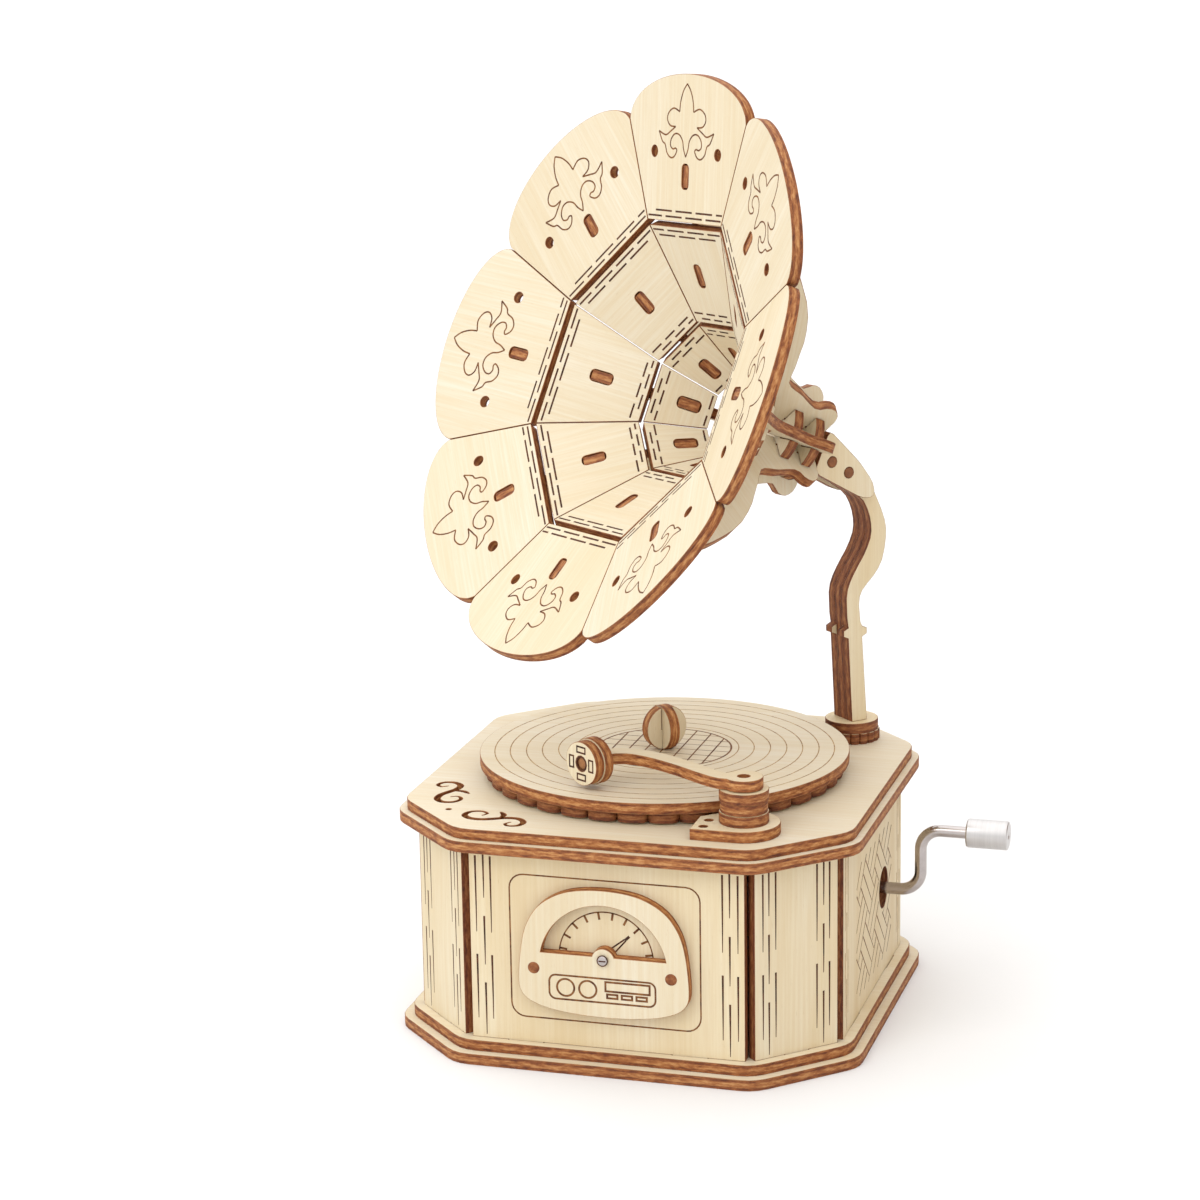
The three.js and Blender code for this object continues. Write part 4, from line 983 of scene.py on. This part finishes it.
# ------------------------------------------------------------------ the horn
def horn_placement():
    """Z runs out of the mouth, and y is the direction of the top petal."""
    axis = (node_middle("horn_hub_front") - node_middle("horn_hub_rear")).normalized()
    right = UP.cross(axis).normalized()
    up = axis.cross(right)
    centre = node_middle("horn_hub_front") - axis * HUB_FRONT_Z * MM
    return placement(right, up, centre) @ Matrix.Rotation(HORN_ROLL, 4, "Z")


def ring_section(ring):
    """One ring's panels in a rib's plane: their inner edge, slope and length."""
    flat = math.cos(HALF_SIDE)
    outer = Vector((RING_RADII[ring] * flat, RING_Z[ring]))
    inner = Vector((RING_RADII[ring + 1] * flat, RING_Z[ring + 1]))
    return inner, (outer - inner).normalized(), (outer - inner).length


def joint_setback(joint):
    slope_out = ring_section(joint)[1]
    slope_in = ring_section(joint + 1)[1]
    bend = math.atan2(slope_in.y, slope_in.x) - math.atan2(slope_out.y, slope_out.x)
    return PLY * math.tan(bend / 2) + GAP / 2


def panel_placement(horn, ring, number):
    """Where a panel drawn flat goes: y up its slope from the ring's inner edge, z to the front."""
    inner, slope, _ = ring_section(ring)
    angle = math.pi / 2 - (number - 1) * 2 * math.pi / SIDES
    radial = Vector((math.cos(angle), math.sin(angle), 0))
    spot = radial * inner.x + UP * inner.y
    y_axis = radial * slope.x + UP * slope.y
    x_axis = Vector((math.sin(angle), -math.cos(angle), 0))
    return horn @ placement(x_axis, y_axis, spot * MM)


def half_width(ring, along):
    inner, slope, _ = ring_section(ring)
    return (inner.x + along * slope.x) * math.tan(HALF_SIDE) - PLAY


SLOT_HALF = (1.4, 2.8)
SLIT_ROW_INSET = 1.0
SLIT_ROW_PITCH = 1.25
SLIT_GAP = 1.5


def tenon_slot(ring):
    middle = ring_section(ring)[2] * TENON_PLACES[ring]
    half_wide, half_long = SLOT_HALF
    return rounded_rectangle(-half_wide, middle - half_long, half_wide, middle + half_long, 1.15, 5)


def petal_outline():
    start, length = joint_setback(0), ring_section(0)[2]
    shoulder = half_width(0, length)
    dome = [(shoulder * math.cos(a), length + PETAL_RISE * math.sin(a))
            for a in (math.pi * i / 48 for i in range(49))]
    base = half_width(0, start)
    return [(-base, start), (base, start), *dome]


def panel_outline(ring):
    low = joint_setback(ring) if ring < 2 else 0.0
    high = ring_section(ring)[2] - joint_setback(ring - 1)
    wide, narrow = half_width(ring, high), half_width(ring, low)
    return [(-narrow, low), (narrow, low), (wide, high), (-wide, high)]


LILY_WIDTH = 0.36


def lily_lines():
    """A plain heraldic lily: a pointed middle leaf, a leaf and a curl on each side, a stem."""
    runs = [
        [(0, 30.8), (1.5, 29.2), (2.5, 26.9), (2.8, 24.7)],
        [(2.8, 24.7), (5.2, 25.4), (7.2, 24.4), (7.7, 22.9), (6.5, 21.6), (4.3, 21.4)],
        [(4.3, 21.4), (6.4, 20.3), (8.3, 19.5), (11.0, 20.3)],
        [(11.0, 20.3), (9.6, 18.1), (8.4, 17.4), (7.6, 15.6), (6.1, 14.6), (4.6, 14.9),
         (3.6, 16.2), (4.2, 16.7), (5.2, 16.5), (6.2, 17.2), (6.0, 18.6), (4.6, 19.8),
         (2.8, 19.7), (1.4, 18.4), (0.9, 16.6), (0, 14.9)],
    ]
    smooth = [spline(run, 5) for run in runs]
    return [(line, LILY_WIDTH) for run in smooth for line in (run, mirrored(run))]


def dash_row(half, v, dash, gap, shift):
    """Slits in a row parallel to a panel's end."""
    period = dash + gap
    lines = []
    start = -math.ceil(half / period) * period + shift * period
    while start < half:
        a, b = max(start, -half + 0.5), min(start + dash, half - 0.5)
        if b - a > 1.0:
            lines.append(([(a, v), ((a + b) / 2, v + 0.01), (b, v)], 0.42))
        start += period
    return lines


def end_slits(ring, inner_rows, outer_rows):
    low = joint_setback(ring) if ring < 2 else 0.0
    high = ring_section(ring)[2] - (joint_setback(ring - 1) if ring else 0.0)
    lines = []
    for edge, inward, rows in ((low, 1, inner_rows), (high, -1, outer_rows)):
        for row in range(rows):
            v = edge + inward * (SLIT_ROW_INSET + SLIT_ROW_PITCH * row)
            half = half_width(ring, v)
            dash = 6.6 if half > 11 else 3.4
            lines += dash_row(half, v, dash, SLIT_GAP, 0.5 * (row % 2) + 0.07)
    return lines


def build_horn():
    horn = horn_placement()
    hole_height = ring_section(0)[2] * PETAL_HOLE_SHARE
    holes = [circle(PETAL_HOLE_RADIUS, 24, (side * PETAL_HOLE_X, hole_height)) for side in (1, -1)]
    slits = [end_slits(0, 2, 0), end_slits(1, 2, 2), end_slits(2, 1, 2)]
    for number in range(1, SIDES + 1):
        for ring, name in enumerate(("petal", "middle", "inner")):
            place = panel_placement(horn, ring, number)
            seat = place @ Matrix.Translation((0, 0, -PLY * MM))
            if ring == 0:
                bm = sheet(petal_outline(), [tenon_slot(0), *holes])
                replaces = [f"horn_petal_{number}"]
                engrave(f"horn_lily_{number}", place, "case", lily_lines())
            else:
                bm = sheet(panel_outline(ring), [tenon_slot(ring)])
                replaces = [f"horn_{name}_ring"] if number == 1 else ()
            across = place.to_3x3() @ Vector((1, 0, 0))
            along = across if (number + ring) % 3 == 0 else None
            ply_sheet(f"horn_{name}_ply_{number}", bm, seat, "case", replaces, along)
            # The slits go through the panel: their dark strips are painted shade of the openings,
            # with the burnt kerf.
            engrave(f"horn_{name}_slits_{number}", place, "case", slits[ring], DEEP_BURN_AND_PAINTED_SHADE)
        ply_from_node(f"horn_rib_{number}")
    ply_from_node("horn_hub_front")
    ply_from_node("horn_hub_rear")


# ------------------------------------------------------------------ crank and movement
CRANK_Y, CRANK_Z = CRANK_PLACE
CRANK_THROW = 14.6
CRANK_ARM_X = 57.1
CRANK_BEND = 4.6
WIRE_RADIUS = 1.36
WORM_PITCH = 2.36
WORM_TURNS = 2.5
WORM_CREST_RADIUS = 3.1
WORM_DEPTH = 1.2
WIRE_START_X = 13.0
WIRE_END_X = 75.2
CYLINDER_X = 24.0
CYLINDER_DROP = 8.8  # below the crank's axis
BARREL_RADIUS = 5.8
COMB_TEETH = 18


def crank_path():
    """The wire's middle line in the XZ plane, height measured from the crank's axis."""
    bend, arm, throw = CRANK_BEND, CRANK_ARM_X, CRANK_THROW
    low = arc(bend, -90, 0, 14, (arm - bend, bend))
    high = arc(bend, 180, 90, 14, (arm + bend, throw - bend))
    straight = [(WIRE_START_X, 0), (30.0, 0), (45.0, 0)]
    return [*straight, *low, *high, (66.0, throw), (WIRE_END_X, throw)]


def tube(points, radius, steps=24):
    """A round wire along a path in the XZ plane, closed at both ends."""
    bm = bmesh.new()
    rings = []
    for i, spot in enumerate(points):
        before, after = points[max(i - 1, 0)], points[min(i + 1, len(points) - 1)]
        heading = (Vector(after) - Vector(before)).normalized()
        side = Vector((-heading.y, heading.x))
        rings.append([bm.verts.new((spot[0] + side.x * c, s, spot[1] + side.y * c))
                      for c, s in circle(radius, steps)])
    for a, b in zip(rings, rings[1:]):
        for k in range(steps):
            bm.faces.new((a[k], a[(k + 1) % steps], b[(k + 1) % steps], b[k]))
    bm.faces.new(rings[0])
    bm.faces.new(reversed(rings[-1]))
    return bm


def worm_mesh():
    """The single-start worm on the crank's inner end: root 1.9 mm, crest 3.1 mm."""
    bm = bmesh.new()
    around, per_turn = 36, 20
    count = round(WORM_TURNS * per_turn)
    length = WORM_TURNS * WORM_PITCH
    rings = []
    for i in range(count + 1):
        x = length * i / count - length / 2
        ring = []
        for j in range(around):
            angle = 2 * math.pi * j / around
            phase = x / WORM_PITCH - (angle + math.pi / 2) / (2 * math.pi)
            off = abs(phase - math.floor(phase) - 0.5)
            radius = WORM_CREST_RADIUS - WORM_DEPTH * min(1, max(0, (off - 0.12) / 0.1))
            ring.append(bm.verts.new((x, radius * math.cos(angle), radius * math.sin(angle))))
        rings.append(ring)
    for a, b in zip(rings, rings[1:]):
        for j in range(around):
            bm.faces.new((a[j], a[(j + 1) % around], b[(j + 1) % around], b[j]))
    bm.faces.new(rings[0])
    bm.faces.new(reversed(rings[-1]))
    return bm


def build_crank():
    axis = Matrix.Translation(Vector((0, CRANK_Y, CRANK_Z)) * MM)
    wire = new_piece("crank_wire", put(tube(crank_path(), WIRE_RADIUS), axis), "crank",
                     [STEEL], ["crank"])
    sharpen(wire)
    place = axis @ Matrix.Translation(Vector((CYLINDER_X, 0, 0)) * MM)
    new_piece("crank_worm", put(worm_mesh(), place), "crank", [STEEL])

    low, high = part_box("crank_knob")
    length = (high.x - low.x) / MM
    radius = (high.z - low.z) / 2 / MM
    profile = [(0, length - 1.4), (1.66, length - 1.4), (1.66, 0), (3.1, 0),
               (radius - 0.1, 0.12), (radius, 0.3), (radius, length - 0.45),
               (radius - 0.12, length - 0.15), (radius - 0.4, length), (0.9, length),
               (0.5, length - 0.35), (0, length - 0.35)]
    centre = (low + high) / 2
    turn = placement((0, 1, 0), UP, Vector((low.x, centre.y, centre.z)))
    knob = new_piece("crank_knob_turned", lathe(profile, turn, 72), "crank_handle",
                     [TURNED_STEEL], ["crank_knob"])
    sharpen(knob, 25)


def metal_from_node(node, material):
    piece = new_piece(node + "_part", copy_of_node(node), body_of_node(node),
                      [material], [node])
    ease_edges(piece, 0.15)
    return piece


def cylinder_pins(low, high):
    """Short pins scattered in rows round the barrel, one row for each tooth of the comb."""
    bm = bmesh.new()
    for row in range(COMB_TEETH):
        y = low + (high - low) * (row + 0.35) / COMB_TEETH
        for _ in range(random.randint(3, 6)):
            angle = random.random() * 2 * math.pi
            up = Vector((math.cos(angle), 0, math.sin(angle)))
            side = Vector((0, 1, 0)).cross(up)
            place = Matrix.Translation(up * BARREL_RADIUS + Vector((0, y, 0)))
            place = place @ Matrix((side, (0, 1, 0), up)).transposed().to_4x4()
            bmesh.ops.create_cone(bm, cap_ends=True, segments=6, radius1=0.16, radius2=0.12,
                                  depth=0.9, matrix=place)
    return bm


def build_movement():
    metal_from_node("movement_frame", CAST)
    metal_from_node("comb", STEEL)
    metal_from_node("pinned_cylinder", BRASS)
    low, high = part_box("comb")
    axis = Matrix.Translation(Vector((CYLINDER_X, 0, CRANK_Z - CYLINDER_DROP)) * MM)
    bm = put(cylinder_pins(low.y / MM + 0.4, high.y / MM), axis)
    new_piece("cylinder_pins", bm, "cylinder", [BRASS])
    head = [(0, 0), (1.5, 0), (1.5, 0.6), (1.2, 0.9), (0, 0.95)]
    for number, share in enumerate((0.25, 0.75), 1):
        y = low.y + (high.y - low.y) * share
        place = Matrix.Translation((low.x + 2 * MM, y, high.z))
        screw = new_piece(f"comb_screw_{number}", lathe(head, place, 28), "case",
                          [TURNED_STEEL])
        sharpen(screw)


make_camera()
make_studio()
build_box()
build_dial()
build_turntable()
build_tonearm()
build_column()
build_horn()
build_crank()
build_movement()
